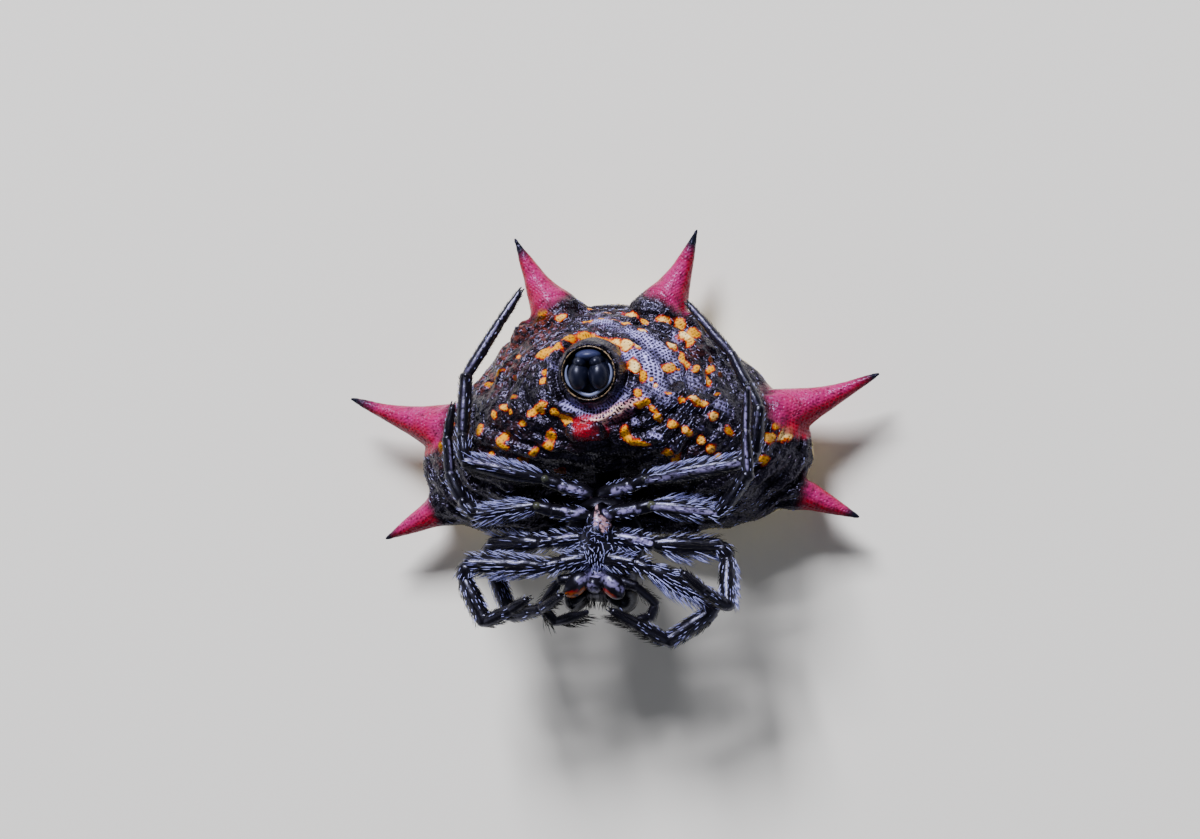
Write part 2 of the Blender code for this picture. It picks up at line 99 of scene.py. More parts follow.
SPINES = {
    "lateral": (
        ((3.2, -0.45, 1.15), (3.9, -0.22, 1.15), (4.4, -0.06, 1.13), (4.85, 0.08, 1.12),
         (5.25, 0.22, 1.1), (5.75, 0.41, 1.08), (6.2, 0.6, 1.06), (6.5, 0.73, 1.05)),
        (0.8, 0.74, 0.56, 0.4, 0.29, 0.18, 0.1, 0.04)),
    "front": (
        ((3.1, -1.5, 1.1), (3.7, -1.78, 1.08), (4.2, -1.97, 1.05), (4.62, -2.14, 1.02),
         (5.06, -2.34, 1.0), (5.45, -2.52, 0.98), (5.84, -2.71, 0.96)),
        (0.8, 0.7, 0.5, 0.35, 0.24, 0.14, 0.04)),
    "rear": (
        ((0.9, 1.6, 1.2), (1.15, 2.2, 1.2), (1.35, 2.58, 1.2), (1.57, 2.95, 1.2),
         (1.78, 3.35, 1.2), (2.01, 3.85, 1.2), (2.24, 4.38, 1.2)),
        (0.86, 0.8, 0.64, 0.44, 0.29, 0.16, 0.04)),
}
# Share of each spine's axis at which its crimson begins
CRIMSON_FROM = {"lateral": 0.04, "front": 0.36, "rear": 0.27}

# Head end, turned a little at the waist
HEAD_TURN = radians(-5.0)
HEAD_PIVOT = (0.0, -1.7, 0.0)
CARAPACE = ((0.0, -3.05, 2.55), (1.02, 1.16, 1.08))
CARAPACE_BELLY = 0.4
HEAD = ((0.0, -3.66, 2.35), (0.9, 0.78, 0.88))
HEAD_SQUARENESS = 0.72
STERNUM = ((0.0, -2.88, 3.0), (0.56, 0.84, 0.62))
LABIUM = ((-0.02, -4.0, 3.27), (0.25, 0.22, 0.3))
WAIST = ((0.0, -2.3, 2.3), (0.0, -1.1, 2.3))
WAIST_RADIUS = 0.3
CHELICERA = ((0.6, -4.3, 2.72), (0.32, 0.38, 0.6))
ENDITE = ((0.45, -4.03, 3.44), (0.24, 0.36, 0.2))
ENDITE_SPLAY = radians(40.0)

# Legs: half thickness of the skin at the start, belly and end of each segment, inside the
# solids by the depth of the setae
LEG_SEGMENTS = (
    ("coxa", 0.16, 0.185, 0.165),
    ("trochanter", 0.15, 0.16, 0.15),
    ("femur", 0.155, 0.215, 0.17),
    ("patella", 0.165, 0.185, 0.165),
    ("tibia", 0.155, 0.18, 0.155),
    ("metatarsus", 0.135, 0.14, 0.12),
    ("tarsus", 0.12, 0.115, 0.08),
)
PALP_SEGMENTS = (
    ("coxa", 0.14, 0.15, 0.13),
    ("femur", 0.1, 0.115, 0.105),
    ("patella", 0.1, 0.115, 0.105),
    ("tarsus", 0.11, 0.13, 0.06),
)
# How much thicker the two front pairs of legs are than the two rear pairs
LEG_GIRTH = {"leg_1": 1.2, "leg_2": 1.14, "leg_3": 1.0, "leg_4": 1.0}
# Each joint as its pixel in the picture and its height in millimetres, root to tip
LIMBS = {
    "leg_4_left": (
        (590, 493, 3.25), (562, 486, 3.36), (545, 479, 3.42), (465, 462, 3.62),
        (463, 436, 3.5), (466, 376, 3.15), (500, 322, 2.75), (519, 293, 2.5)),
    "leg_3_left": (
        (588, 516, 3.2), (553, 511, 3.3), (537, 506, 3.32), (477, 516, 3.2),
        (463, 502, 3.15), (450, 474, 3.05), (447, 438, 3.0), (452, 408, 2.95)),
    "leg_2_left": (
        (588, 538, 3.15), (555, 541, 3.2), (541, 543, 3.15), (492, 545, 2.75),
        (489, 557, 2.62), (511, 617, 2.75), (541, 609, 3.35), (560, 596, 3.85)),
    "leg_1_left": (
        (590, 558, 3.25), (562, 563, 3.36), (548, 567, 3.42), (468, 564, 3.4),
        (464, 578, 3.4), (485, 622, 3.6), (510, 610, 3.95), (526, 600, 4.2)),
    "leg_4_right": (
        (602, 493, 3.25), (630, 486, 3.36), (645, 479, 3.42), (738, 463, 3.5),
        (754, 456, 3.35), (759, 408, 3.05), (731, 354, 2.7), (689, 305, 2.4)),
    "leg_3_right": (
        (603, 515, 3.2), (637, 509, 3.3), (651, 505, 3.32), (717, 513, 3.2),
        (729, 502, 3.4), (748, 474, 4.0), (745, 432, 3.95), (747, 388, 3.8)),
    "leg_2_right": (
        (603, 537, 3.15), (639, 541, 3.2), (652, 544, 3.15), (719, 546, 2.85),
        (728, 556, 2.85), (727, 606, 3.45), (703, 590, 3.85), (684, 573, 4.0)),
    "leg_1_right": (
        (602, 558, 3.25), (634, 563, 3.36), (648, 568, 3.38), (706, 598, 3.0),
        (713, 611, 3.0), (668, 641, 3.2), (637, 624, 3.65), (613, 611, 3.95)),
    "palp_left": (
        (581, 578, 3.3), (560, 580, 3.3), (541, 606, 3.0), (556, 622, 3.0), (587, 612, 3.35)),
    "palp_right": (
        (612, 579, 3.3), (636, 586, 3.3), (656, 604, 3.0), (650, 618, 3.0), (634, 620, 3.3)),
}
LIMB_NAMES = tuple(LIMBS)

# Spots of the belly: pixel, half length, half width in pixels, turn in degrees, and how
# pale (0 orange to 1 cream; below 0 darker brown, painted shade on spots in shadow)
SPOT_SCALE = 1.12
SPOTS = (
    (543, 354, 8, 5.5, 10, 0.1), (554, 350, 10, 7, 20, 0.1), (518, 357, 4, 3, 0, 0.0),
    (545, 371, 4, 3, 20, 0.0), (542, 380, 4, 3, 60, 0.1), (504, 407, 4.5, 3.5, 0, 0.3),
    (516, 397, 4, 2.5, 20, -0.3), (533, 412, 5.5, 4.5, 30, 0.1), (542, 408, 6, 5, 50, 0.2),
    (555, 412, 6, 4, -35, 0.1), (565, 419, 8, 5, -32, 0.2), (522, 424, 4, 3, 0, -0.2),
    (551, 436, 5, 5, 0, -0.1), (549, 444, 6, 5, 20, -0.1), (534, 451, 4.5, 4, 0, -0.1),
    (503, 438, 5, 4.5, 0, 0.1), (505, 446, 5, 4, 0, 0.0), (490, 455, 4, 3, 0, -0.1),
    (524, 460, 5.5, 5, 0, -0.4), (480, 430, 4, 5, 0, 0.0), (493, 415, 4.5, 3.5, 0, 0.1),
    (490, 383, 5, 2.5, 30, -0.2), (500, 374, 6, 2.8, 40, 0.0), (497, 379, 4, 2.5, 40, -0.1),
    (454, 425, 4, 4, 0, -0.3), (512, 412, 3, 2.5, 0, 0.0), (516, 379, 3, 2.5, 0, -0.5),
    (570, 340, 7, 4, 10, -0.15), (584, 336, 11, 5, 8, -0.1), (600, 337, 9, 5, -6, 0.0),
    (615, 340, 9, 6, -12, 0.5), (626, 345, 9, 6, -30, 0.6), (637, 349, 5, 4.5, -20, 0.6),
    (588, 322, 4.5, 4.2, 0, 0.1), (602, 320, 4, 3, 0, 0.2), (614, 323, 5.5, 3, -8, 0.2),
    (627, 326, 5, 2.6, -12, 0.2), (590, 311, 3.5, 2.2, 0, 0.0), (608, 314, 6, 2.8, 0, 0.7),
    (631, 315, 9, 4, -20, 0.6), (645, 322, 4, 2, -20, 0.1), (663, 321, 8, 4.5, -8, 0.5),
    (681, 323, 5.5, 6, 20, 0.2), (643, 333, 5.5, 3.5, -25, 0.7), (684, 337, 7, 6, -20, 0.95),
    (690, 343, 5, 4, -50, 0.3), (694, 333, 6, 5, -30, 0.1), (671, 348, 5.5, 4, -35, 0.7),
    (682, 358, 3, 5, 25, 0.2), (686, 364, 3.6, 5, 30, 0.3), (669, 368, 7, 3.6, 0, 0.3),
    (695, 370, 4.2, 3.6, 0, 0.2), (679, 369, 1.8, 1.6, 0, -0.2), (634, 367, 4.6, 8, 30, 1.0),
    (643, 376, 4.2, 5.5, 15, 0.1), (651, 380, 2, 2.2, 0, 0.1), (638, 393, 3.8, 3.8, 0, 0.1),
    (640, 405, 5, 4, 10, 0.1), (646, 403, 3.5, 4, 0, 0.0), (653, 409, 4.5, 3, -40, 0.1),
    (658, 416, 3.6, 4, 15, 0.1), (660, 421, 3, 3, 0, 0.2), (672, 424, 5, 3.4, -15, 0.2),
    (685, 428, 4, 4, -20, 0.3), (688, 432, 4.4, 3.4, -20, 0.2), (701, 440, 3.6, 5.4, 30, 0.3),
    (682, 401, 3.8, 3.2, 0, 0.1), (692, 400, 5, 3.6, -30, 0.5), (698, 404, 4.5, 3.4, 0, 0.2),
    (704, 404, 4.5, 3.4, 0, 0.2), (710, 370, 4, 3.6, 0, 0.1), (709, 380, 3.8, 4.6, 20, 0.3),
    (667, 394, 3.6, 2, -10, 0.0), (656, 386, 2.4, 2.6, 0, 0.8), (716, 394, 3, 2.4, 0, -0.3),
    (710, 360, 3, 3, 0, -0.5), (720, 376, 2.5, 2.5, 0, -0.5), (714, 417, 5, 4, -35, 0.4),
    (728, 430, 3.5, 5.5, 30, -0.3), (710, 449, 5, 4, -10, 0.3), (717, 457, 4.5, 4, 20, 0.3),
    (626, 431, 5, 5.5, 0, 0.1), (631, 439, 6, 4.6, -30, 0.0), (641, 443, 7, 3.6, -20, 0.0),
    (668, 452, 5.5, 5, 0, -0.2), (677, 460, 6, 5.5, 30, 0.2), (682, 467, 4, 3, 0, 0.5),
    (542, 311, 6, 4, 25, -0.1), (560, 318, 5.5, 3.5, 20, 0.4), (538, 318, 7, 3, 30, -0.5),
    (770, 437, 7, 5.5, 0, 0.3), (784, 434, 9, 7, 10, 0.8), (776, 426, 5, 3.5, 0, 0.1),
    (763, 460, 6, 5, 0, -0.1), (793, 429, 6, 4, 30, 0.4), (440, 447, 6, 5, 0, -0.3),
    (449, 462, 4, 4, 0, -0.3), (560, 471, 5, 4, 0, -0.5), (430, 440, 5, 4, 0, -0.3),
)
# Streak of pink and cream from the tubercle's top towards the right, whose first capsule is a
# painted highlight on the tubercle: capsules of two pixels, radius, strength
STREAK_AND_HIGHLIGHT = (
    ((586, 423), (594, 421), 7.0, 0.75), ((598, 420), (604, 418), 8.0, 1.1),
    ((606, 415), (612, 411), 6.0, 0.85), ((613, 413), (621, 408), 8.0, 1.1),
    ((622, 406), (629, 404), 5.0, 0.8), ((630, 405), (640, 400), 6.5, 1.05),
    ((604, 427), (630, 414), 7.0, 0.55), ((625, 362), (636, 368), 3.0, 0.35),
)
# Waxy lavender between dark pits, partly the wax's own colour and partly painted sheen and glints where the
# waxy cuticle catches the light: capsules of two pixels, radius, strength
WAX_AND_SHEEN_BANDS = (
    ((622, 352), (640, 362), 7, 0.95), ((640, 358), (660, 376), 15, 1.0),
    ((650, 380), (664, 396), 12, 0.85), ((636, 386), (645, 396), 7, 0.8),
    ((594, 324), (628, 333), 5, 0.8), ((628, 333), (668, 356), 6.5, 0.95),
    ((672, 352), (676, 362), 7, 0.8), ((678, 372), (704, 388), 12, 0.6),
    ((596, 411), (611, 405), 6.0, 1.2), ((611, 405), (627, 393), 5.5, 1.0), ((564, 404), (590, 414), 6, 0.9),
    ((612, 358), (620, 366), 5, 0.55), ((592, 318), (640, 318), 3.5, 0.4),
    ((650, 434), (660, 436), 4, 1.0), ((633, 418), (637, 424), 4, 0.9),
    ((699, 427), (712, 436), 6, 0.55), ((718, 404), (730, 412), 8, 0.6),
    ((548, 358), (556, 367), 6, 0.55), ((540, 372), (548, 392), 6, 0.35),
    ((732, 376), (740, 384), 8, 0.5), ((674, 334), (680, 342), 5, 0.7),
    ((552, 330), (590, 328), 4, 0.4), ((668, 396), (690, 412), 7, 0.5),
    ((670, 445), (676, 448), 4, 0.5), ((690, 455), (700, 462), 5, 0.45),
    ((606, 436), (616, 444), 6, 0.25), ((724, 440), (740, 462), 6, 0.4),
)
# Single ridges and furrows of the belly: capsules of two pixels, radius, height in millimetres
RIDGES = (
    ((576, 430), (598, 429), 9.0, 0.26), ((566, 445), (608, 445), 4.5, -0.14),
    ((572, 415), (605, 413), 3.0, -0.07),
    ((597, 417), (628, 406), 9.0, 0.05), ((628, 406), (650, 400), 9.0, 0.05),
    ((608, 426), (640, 415), 4.5, -0.1), ((640, 415), (660, 426), 4.0, -0.07),
    ((596, 322), (630, 330), 4.5, 0.07), ((630, 330), (668, 352), 5.5, 0.08),
    ((602, 331), (640, 343), 3.5, -0.05), ((640, 343), (660, 356), 3.5, -0.05),
    ((552, 404), (588, 414), 5.0, 0.06), ((556, 424), (566, 434), 5.0, -0.08),
    ((622, 430), (650, 446), 6.0, 0.07), ((631, 423), (637, 419), 4.0, 0.08),
    ((610, 448), (648, 455), 5.0, -0.08), ((650, 434), (666, 440), 4.0, 0.08),
    ((664, 410), (704, 414), 4.0, -0.07), ((688, 401), (706, 405), 5.0, 0.05),
    ((672, 336), (682, 344), 4.5, -0.06), ((700, 424), (714, 436), 4.0, 0.06),
    ((560, 327), (592, 330), 3.5, -0.05), ((540, 362), (548, 384), 5.0, -0.06),
    ((612, 330), (650, 322), 3.0, -0.04), ((680, 438), (700, 450), 4.0, -0.07),
)
# Rusty mottling without clear spots: pixel, radius, strength
RUSTS = (
    (505, 345, 34, 0.8), (486, 376, 26, 0.7), (532, 320, 30, 1.1), (505, 430, 30, 0.35),
    (470, 440, 22, 0.5), (575, 440, 18, 0.35), (690, 345, 26, 0.5), (600, 330, 40, 0.35),
    (640, 395, 14, 0.35), (440, 455, 20, 0.4), (690, 450, 24, 0.3),
)

# Head end markings in the picture: capsules of two pixels, radius, strength
# Pale marks of the coxae and mouthparts, those on the endites partly painted sheen; the last three are painted
# highlights, the glossy stripes along three femora
PALE_AND_SHEEN_MARKS = (
    ((568, 488), (583, 492), 3.2, 1.0), ((560, 487), (562, 488), 2.4, 0.7),
    ((614, 492), (624, 490), 3.4, 0.9), ((628, 488), (631, 488), 2.4, 0.8),
    ((563, 510), (573, 514), 2.2, 1.0), ((578, 512), (588, 507), 3.4, 0.6),
    ((619, 513), (634, 509), 2.4, 1.0), ((637, 511), (640, 512), 1.8, 0.8),
    ((622, 535), (650, 543), 2.8, 0.9), ((562, 538), (570, 535), 2.2, 0.8),
    ((604, 511), (610, 518), 2.6, 0.5), ((589, 571), (603, 571), 3.6, 0.75),
    ((586, 572), (591, 575), 1.5, 1.0), ((591, 575), (598, 576), 1.5, 1.0),
    ((598, 576), (604, 572), 1.5, 1.0), ((590, 586), (595, 590), 4.5, 0.5),
    ((578, 582), (586, 578), 3.4, 0.5), ((605, 579), (612, 583), 4.6, 0.6),
    ((612, 583), (622, 589), 4.0, 0.5), ((647, 481), (738, 464), 2.2, 0.9),
    ((652, 507), (716, 514), 1.9, 0.9), ((467, 459), (514, 471), 2.0, 0.8),
)
BLAZE_MARKS = (
    ((596, 502), (597, 513), 1.2, 1.0), ((597, 512), (596, 524), 2.4, 1.0),
    ((600, 519), (607, 524), 3.8, 1.0), ((602, 523), (604, 529), 3.2, 0.9),
)
AMBER_MARKS = (
    ((567, 595), (580, 595), 3.4, 1.0), ((581, 592), (585, 588), 2.8, 0.8),
    ((605, 592), (612, 596), 2.6, 0.8),
)
RED_MARKS = (
    ((568, 593), (577, 590), 2.0, 1.0), ((604, 590), (608, 593), 2.8, 1.0),
    ((608, 593), (616, 597), 1.9, 0.9),
)
# Painted sheen: pale lines on the slender outer segments of the long rear legs
SHEEN_MARKS = (
    ((461, 430), (463, 380), 1.3, 0.7), ((466, 372), (498, 322), 1.3, 0.8),
    ((501, 319), (518, 294), 1.2, 0.7), ((690, 306), (731, 353), 1.3, 0.8),
    ((733, 357), (757, 404), 1.3, 0.7), ((757, 412), (752, 450), 1.2, 0.5),
    ((746, 470), (744, 392), 1.1, 0.8), ((449, 440), (451, 472), 1.2, 0.5),
)
# Bare glossy knobs at joints that face the viewer: limb, joint, radius, rise, how horny
KNOBS = (
    ("leg_4_left", 2, 0.085, 0.1, 0.8), ("leg_3_left", 2, 0.085, 0.1, 0.8),
    ("leg_4_right", 2, 0.085, 0.1, 0.5), ("leg_3_right", 2, 0.085, 0.1, 1.0),
    ("leg_2_right", 2, 0.085, 0.12, 0.3), ("leg_2_left", 2, 0.085, 0.12, 0.3),
    ("leg_4_left", 4, 0.1, 0.08, 0.1), ("leg_3_left", 4, 0.12, 0.09, 0.1),
    ("leg_3_right", 4, 0.11, 0.09, 0.2), ("leg_3_right", 6, 0.08, 0.06, 0.3),
    ("leg_4_left", 5, 0.09, 0.08, 0.1), ("leg_4_right", 4, 0.1, 0.08, 0.1),
)

# Setae by segment: share of pale ones, length, distance between rows and lift
SETAE = {
    "coxa": (0.3, 0.5, 1.2, 0.4),
    "trochanter": (0.25, 0.55, 1.2, 0.5),
    "femur": (0.54, 1.05, 1.0, 0.3),
    "patella": (0.4, 0.65, 1.0, 0.3),
    "tibia": (0.42, 0.55, 0.9, 0.25),
    "metatarsus": (0.28, 0.45, 0.9, 0.22),
    "tarsus": (0.06, 0.45, 0.8, 0.3),
}
# The same for the roots of the two front pairs of legs
SHAGGY = (0.5, 0.85, 0.95, 0.7)
# Femora with few pale setae, and those whose underside, away from the rear, has none
DIM_FEMORA = {"leg_2_left": 0.2, "leg_2_right": 0.18, "leg_1_left": 0.5, "leg_3_right": 0.4}
BARE_BELOW = ("leg_4_left", "leg_4_right")
# How far the setae at a limb's edges stand out
SETA_FAN = 0.5
# Limbs whose outer segments are nearly bare
SLEEK = ("leg_4_left", "leg_4_right", "leg_3_right", "leg_3_left")
# Fringes of long setae: limb, segment, pale, count, length, way in the picture in degrees
FRINGES = (
    ("leg_2_right", "femur", True, 70, 0.5, -75), ("leg_1_right", "femur", True, 60, 0.48, -60),
    ("leg_2_right", "tibia", True, 70, 0.26, -20), ("leg_1_left", "femur", True, 50, 0.34, -95),
    ("leg_2_left", "femur", True, 30, 0.3, 100), ("leg_3_left", "femur", True, 40, 0.3, 100),
    ("leg_3_right", "femur", True, 44, 0.4, 85), ("leg_4_left", "femur", True, 46, 0.28, 85),
    ("leg_4_right", "femur", True, 40, 0.24, 95), ("leg_1_left", "tibia", False, 30, 0.2, 200),
    ("palp_left", "tarsus", False, 44, 0.42, -50), ("palp_left", "patella", False, 24, 0.36, -80),
    ("palp_right", "tarsus", False, 30, 0.34, -110), ("leg_1_right", "tarsus", False, 36, 0.34, -120),
    ("leg_1_right", "metatarsus", False, 34, 0.26, -120), ("leg_1_left", "tarsus", False, 20, 0.2, -80),
    ("leg_1_left", "metatarsus", False, 26, 0.22, -80), ("leg_2_left", "tarsus", False, 24, 0.22, -80),
    ("leg_1_right", "tibia", False, 26, 0.2, -40), ("leg_2_right", "metatarsus", False, 16, 0.16, -60),
)


def sized(name, about, default, top=0.01):
    """A length property in metres."""
    return bpy.props.FloatProperty(
        name=name, description=about, default=default, min=0.0, max=top, precision=6,
        unit="LENGTH", subtype="DISTANCE")


def tinted(name, about, code):
    """A colour property from a hex code."""
    return bpy.props.FloatVectorProperty(
        name=name, description=about, default=from_hex(code)[:3], size=3, min=0.0, max=1.0,
        subtype="COLOR")


def from_hex(code):
    """A linear colour from an sRGB hex code."""
    parts = [int(code[i:i + 2], 16) / 255.0 for i in (1, 3, 5)]
    line = [p / 12.92 if p <= 0.04045 else ((p + 0.055) / 1.055) ** 2.4 for p in parts]
    return (*line, 1.0)


class SpiderShield(bpy.types.PropertyGroup):
    grain: sized("Mesh grain", "Spacing of the points of the shield's skin", 0.000045)
    ridge: sized("Ridge height", "Height of the ridges that swirl round the turret", 0.00006)
    ridge_pitch: sized("Ridge pitch", "Distance from ridge to ridge", 0.00042)
    pit_pitch: sized("Pit pitch", "Distance between the dark pits of the cuticle", 0.000098)
    wrinkle_pitch: sized("Wrinkle pitch", "Distance from fine wrinkle to fine wrinkle", 0.000085)
    shell: tinted("Shell", "Brown black of the belly", "#060407")
    rust: tinted("Rust", "Rusty mottling of the belly", "#6e2a0a")
    spot: tinted("Spot", "Orange yellow of the spots", "#e09c00")
    spot_edge: tinted("Spot edge", "Orange red edge of the spots", "#b02000")
    cream: tinted("Cream", "Palest part of the spots and of the streak", "#ffdf9c")
    # Lavender of the wax, partly painted sheen
    wax_and_sheen: tinted("Bloom", "Waxy lavender between the pits", "#b8b2ff")
    crimson: tinted("Crimson", "Spines and tubercle", "#94001c")
    magenta: tinted("Magenta", "Lit flanks of the spines", "#a41a66")
    tip: tinted("Spine tip", "Blue black of the spine tips", "#10131f")
    back: tinted("Back", "Pale cream of the upper side, which faces the floor", "#e9d9a2")


class SpiderLimbs(bpy.types.PropertyGroup):
    cuticle: tinted("Cuticle", "Black of the legs and head", "#08070c")
    pale: tinted("Pale marks", "Lavender marks on the coxae", "#928bc4")
    blaze: tinted("Blaze", "Pink cream blaze of the sternum", "#c49aa8")
    amber: tinted("Amber", "Amber of the mouthparts", "#b8620a")
    joint: tinted("Joint", "Greenish horn colour of the trochanters", "#4c5040")


class SpiderCoat(bpy.types.PropertyGroup):
    length: sized("Seta length", "Length of the pale setae on the femora", 0.00023)
    thickness: sized("Seta thickness", "Thickness of a seta at its belly", 0.00002)
    row: sized("Row distance", "Distance along a limb from row to row of setae", 0.00012)
    spacing: sized("Seta spacing", "Distance between the setae of a row", 0.000075)
    pale: tinted("Pale setae", "Lavender white of the pale setae", "#b4baff")
    dark: tinted("Black setae", "Black bristles of the tips", "#08070c")


class SpiderStage(bpy.types.PropertyGroup):
    floor: tinted("Floor", "Plain pale floor", "#f4f4f1")
    key_power: bpy.props.FloatProperty(
        name="Key light", description="Power of the main soft light", default=2.3, min=0.0,
        unit="POWER")
    fill_power: bpy.props.FloatProperty(
        name="Fill light", description="Power of the fill light", default=0.12, min=0.0,
        unit="POWER")


# Measures in the picture and in the model


def view_point(px, py, height):
    """The point of the model at this height that the picture shows at this pixel."""
    across = (px - ORIGIN_PX[0]) * PIXEL
    up = (ORIGIN_PX[1] - py) * PIXEL
    level = across * cos(VIEW_ROLL) + up * sin(VIEW_ROLL)
    y = up * cos(VIEW_ROLL) - across * sin(VIEW_ROLL)
    x = (level + height * sin(VIEW_YAW)) / cos(VIEW_YAW)
    return Vector((x, y, height))


def picture_axes():
    """Unit ways to the right, up and toward the viewer of the picture, in the model's frame."""
    level = np.array((cos(VIEW_YAW), 0.0, -sin(VIEW_YAW)))
    rear = np.array((0.0, 1.0, 0.0))
    across = level * cos(VIEW_ROLL) - rear * sin(VIEW_ROLL)
    up = level * sin(VIEW_ROLL) + rear * cos(VIEW_ROLL)
    return across, up, np.cross(across, up)


def picture_place(points):
    """Where points of the model lie in the picture, in pixels."""
    level = points[:, 0] * cos(VIEW_YAW) - points[:, 2] * sin(VIEW_YAW)
    across = level * cos(VIEW_ROLL) - points[:, 1] * sin(VIEW_ROLL)
    up = level * sin(VIEW_ROLL) + points[:, 1] * cos(VIEW_ROLL)
    return np.stack((ORIGIN_PX[0] + across / PIXEL, ORIGIN_PX[1] - up / PIXEL), axis=1)


def ease(low, high, value):
    """0 below low, 1 above high, with an even ease between, for numbers and arrays."""
    t = np.clip((value - low) / (high - low), 0.0, 1.0)
    return t * t * (3.0 - 2.0 * t)


def ripple(points, wavelength, seed, count=14):
    """A smooth random field from -1 to 1 with this wavelength, a sum of plane waves."""
    chance = np.random.default_rng(seed)
    ways = chance.normal(size=(count, 3))
    ways /= np.linalg.norm(ways, axis=1)[:, None]
    rates = 2.0 * pi / (wavelength * chance.uniform(0.75, 1.35, count))
    shifts = chance.uniform(0.0, 2.0 * pi, count)
    total = np.zeros(len(points))
    for way, rate, shift in zip(ways, rates, shifts):
        total += np.sin(points @ way * rate + shift)
    return total / (count * 0.5) ** 0.5 / 1.6


def along_curve(points, count):
    """Even places on a smooth curve through the given rows."""
    rows = np.array(points, float)
    rows = np.vstack((2.0 * rows[0] - rows[1], rows, 2.0 * rows[-1] - rows[-2]))
    spans = len(rows) - 3
    places = []
    for step in np.linspace(0.0, spans, count):
        i = min(int(step), spans - 1)
        t = step - i
        a, b, c, d = rows[i:i + 4]
        places.append(0.5 * (2.0 * b + (c - a) * t + (2.0 * a - 5.0 * b + 4.0 * c - d) * t * t
                             + (3.0 * b - a - 3.0 * c + d) * t ** 3))
    return np.array(places)


def head_turn():
    pivot = Matrix.Translation(Vector(HEAD_PIVOT))
    return pivot @ Matrix.Rotation(HEAD_TURN, 4, "Z") @ pivot.inverted()


# Tools for meshes


def deselect():
    for obj in bpy.context.selected_objects:
        obj.select_set(False)


def pick(obj):
    """Make this object the only selected one."""
    deselect()
    obj.select_set(True)
    bpy.context.view_layer.objects.active = obj


def apply_step(obj, kind, settings):
    """Add a modifier with these settings and apply it."""
    pick(obj)
    step = obj.modifiers.new("step", kind)
    for key, value in settings.items():
        setattr(step, key, value)
    bpy.ops.object.modifier_apply(modifier=step.name)


def points_of(obj):
    rows = np.empty(len(obj.data.vertices) * 3)
    obj.data.vertices.foreach_get("co", rows)
    return rows.reshape(-1, 3)


def normals_of(obj):
    rows = np.empty(len(obj.data.vertices) * 3)
    obj.data.vertices.foreach_get("normal", rows)
    return rows.reshape(-1, 3)


def set_points(obj, rows):
    obj.data.vertices.foreach_set("co", np.asarray(rows, float).ravel())
    obj.data.update()


def keep_value(obj, name, values):
    """Store one number for each point of the mesh."""
    layer = obj.data.attributes.new(name, "FLOAT", "POINT")
    layer.data.foreach_set("value", np.asarray(values, np.float32))


def weld(obj, distance=0.0005):
    work = bmesh.new()
    work.from_mesh(obj.data)
    bmesh.ops.remove_doubles(work, verts=work.verts, dist=distance)
    bmesh.ops.recalc_face_normals(work, faces=work.faces)
    work.to_mesh(obj.data)
    work.free()


def ball(name, centre, semi, segments=48, rings=32, shape=None, turn=None):
    """A round form started from a sphere, its unit points first moved by a shape."""
    deselect()
    bpy.ops.mesh.primitive_uv_sphere_add(segments=segments, ring_count=rings, radius=1.0)
    obj = bpy.context.object
    obj.name = name
    rows = points_of(obj)
    if shape:
        rows = shape(rows)
    set_points(obj, rows * np.array(semi) + np.array(centre))
    if turn:
        obj.data.transform(turn)
    return obj


def tube(name, points, radii, resolution=4):
    """A closed round tube through the points, with a radius at each."""
    deselect()
    bpy.ops.curve.primitive_bezier_curve_add()
    obj = bpy.context.object
    obj.name = name
    curve = obj.data
    curve.splines.clear()
    curve.bevel_depth = 1.0
    curve.bevel_resolution = resolution
    curve.use_fill_caps = True
    spline = curve.splines.new("POLY")
    spline.points.add(len(points) - 1)
    for spot, point, radius in zip(spline.points, points, radii):
        spot.co = (*point, 1.0)
        spot.radius = radius
    bpy.ops.object.convert(target="MESH")
    obj = bpy.context.object
    weld(obj)
    return obj


def join(pieces):
    """Join objects into the first of them."""
    deselect()
    for piece in pieces:
        piece.select_set(True)
    bpy.context.view_layer.objects.active = pieces[0]
    bpy.ops.object.join()
    return pieces[0]


def unite(obj, pieces):
    """Boolean union of closed pieces with the object; the pieces are used up."""
    group = bpy.data.collections.new("pieces")
    for piece in pieces:
        group.objects.link(piece)
    apply_step(obj, "BOOLEAN", {
        "operation": "UNION", "operand_type": "COLLECTION", "collection": group,
        "solver": "MANIFOLD"})
    for piece in pieces:
        bpy.data.objects.remove(piece, do_unlink=True)
    bpy.data.collections.remove(group)


def plain_mesh(name, rows, faces):
    """An object from points in millimetres and faces."""
    mesh = bpy.data.meshes.new(name)
    mesh.from_pydata(np.asarray(rows).tolist(), [], faces)
    obj = bpy.data.objects.new(name, mesh)
    bpy.context.scene.collection.objects.link(obj)
    return obj


def hand_over(obj, name, material, nodes=()):
    """Scale to metres, shade smooth, and place the finished piece in the frame."""
    obj.name = name
    obj.data.name = name
    obj.data.transform(Matrix.Scale(1.0 / MM, 4))
    obj.data.materials.clear()
    obj.data.materials.append(material)
    obj.data.shade_smooth()
    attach(obj, "root")
    if nodes:
        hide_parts(*nodes)


# Shield and belly


def shield_edge(angle):
    """Edge of the shield in these directions: squared at the front, drawn in to the rear."""
    across, along = np.cos(angle), np.sin(angle)
    power = np.where(along > 0.0, 2.0 / REAR_SQUARENESS, 2.0 / FRONT_SQUARENESS)
    length = np.where(along > 0.0, SHIELD_REAR, SHIELD_FRONT)
    x = np.sign(across) * np.abs(across) ** power * SHIELD_HALF_WIDTH
    y = np.sign(along) * np.abs(along) ** power * length
    return x * (1.0 - REAR_TAPER * ease(TAPER_Y[0], TAPER_Y[1], y)), y


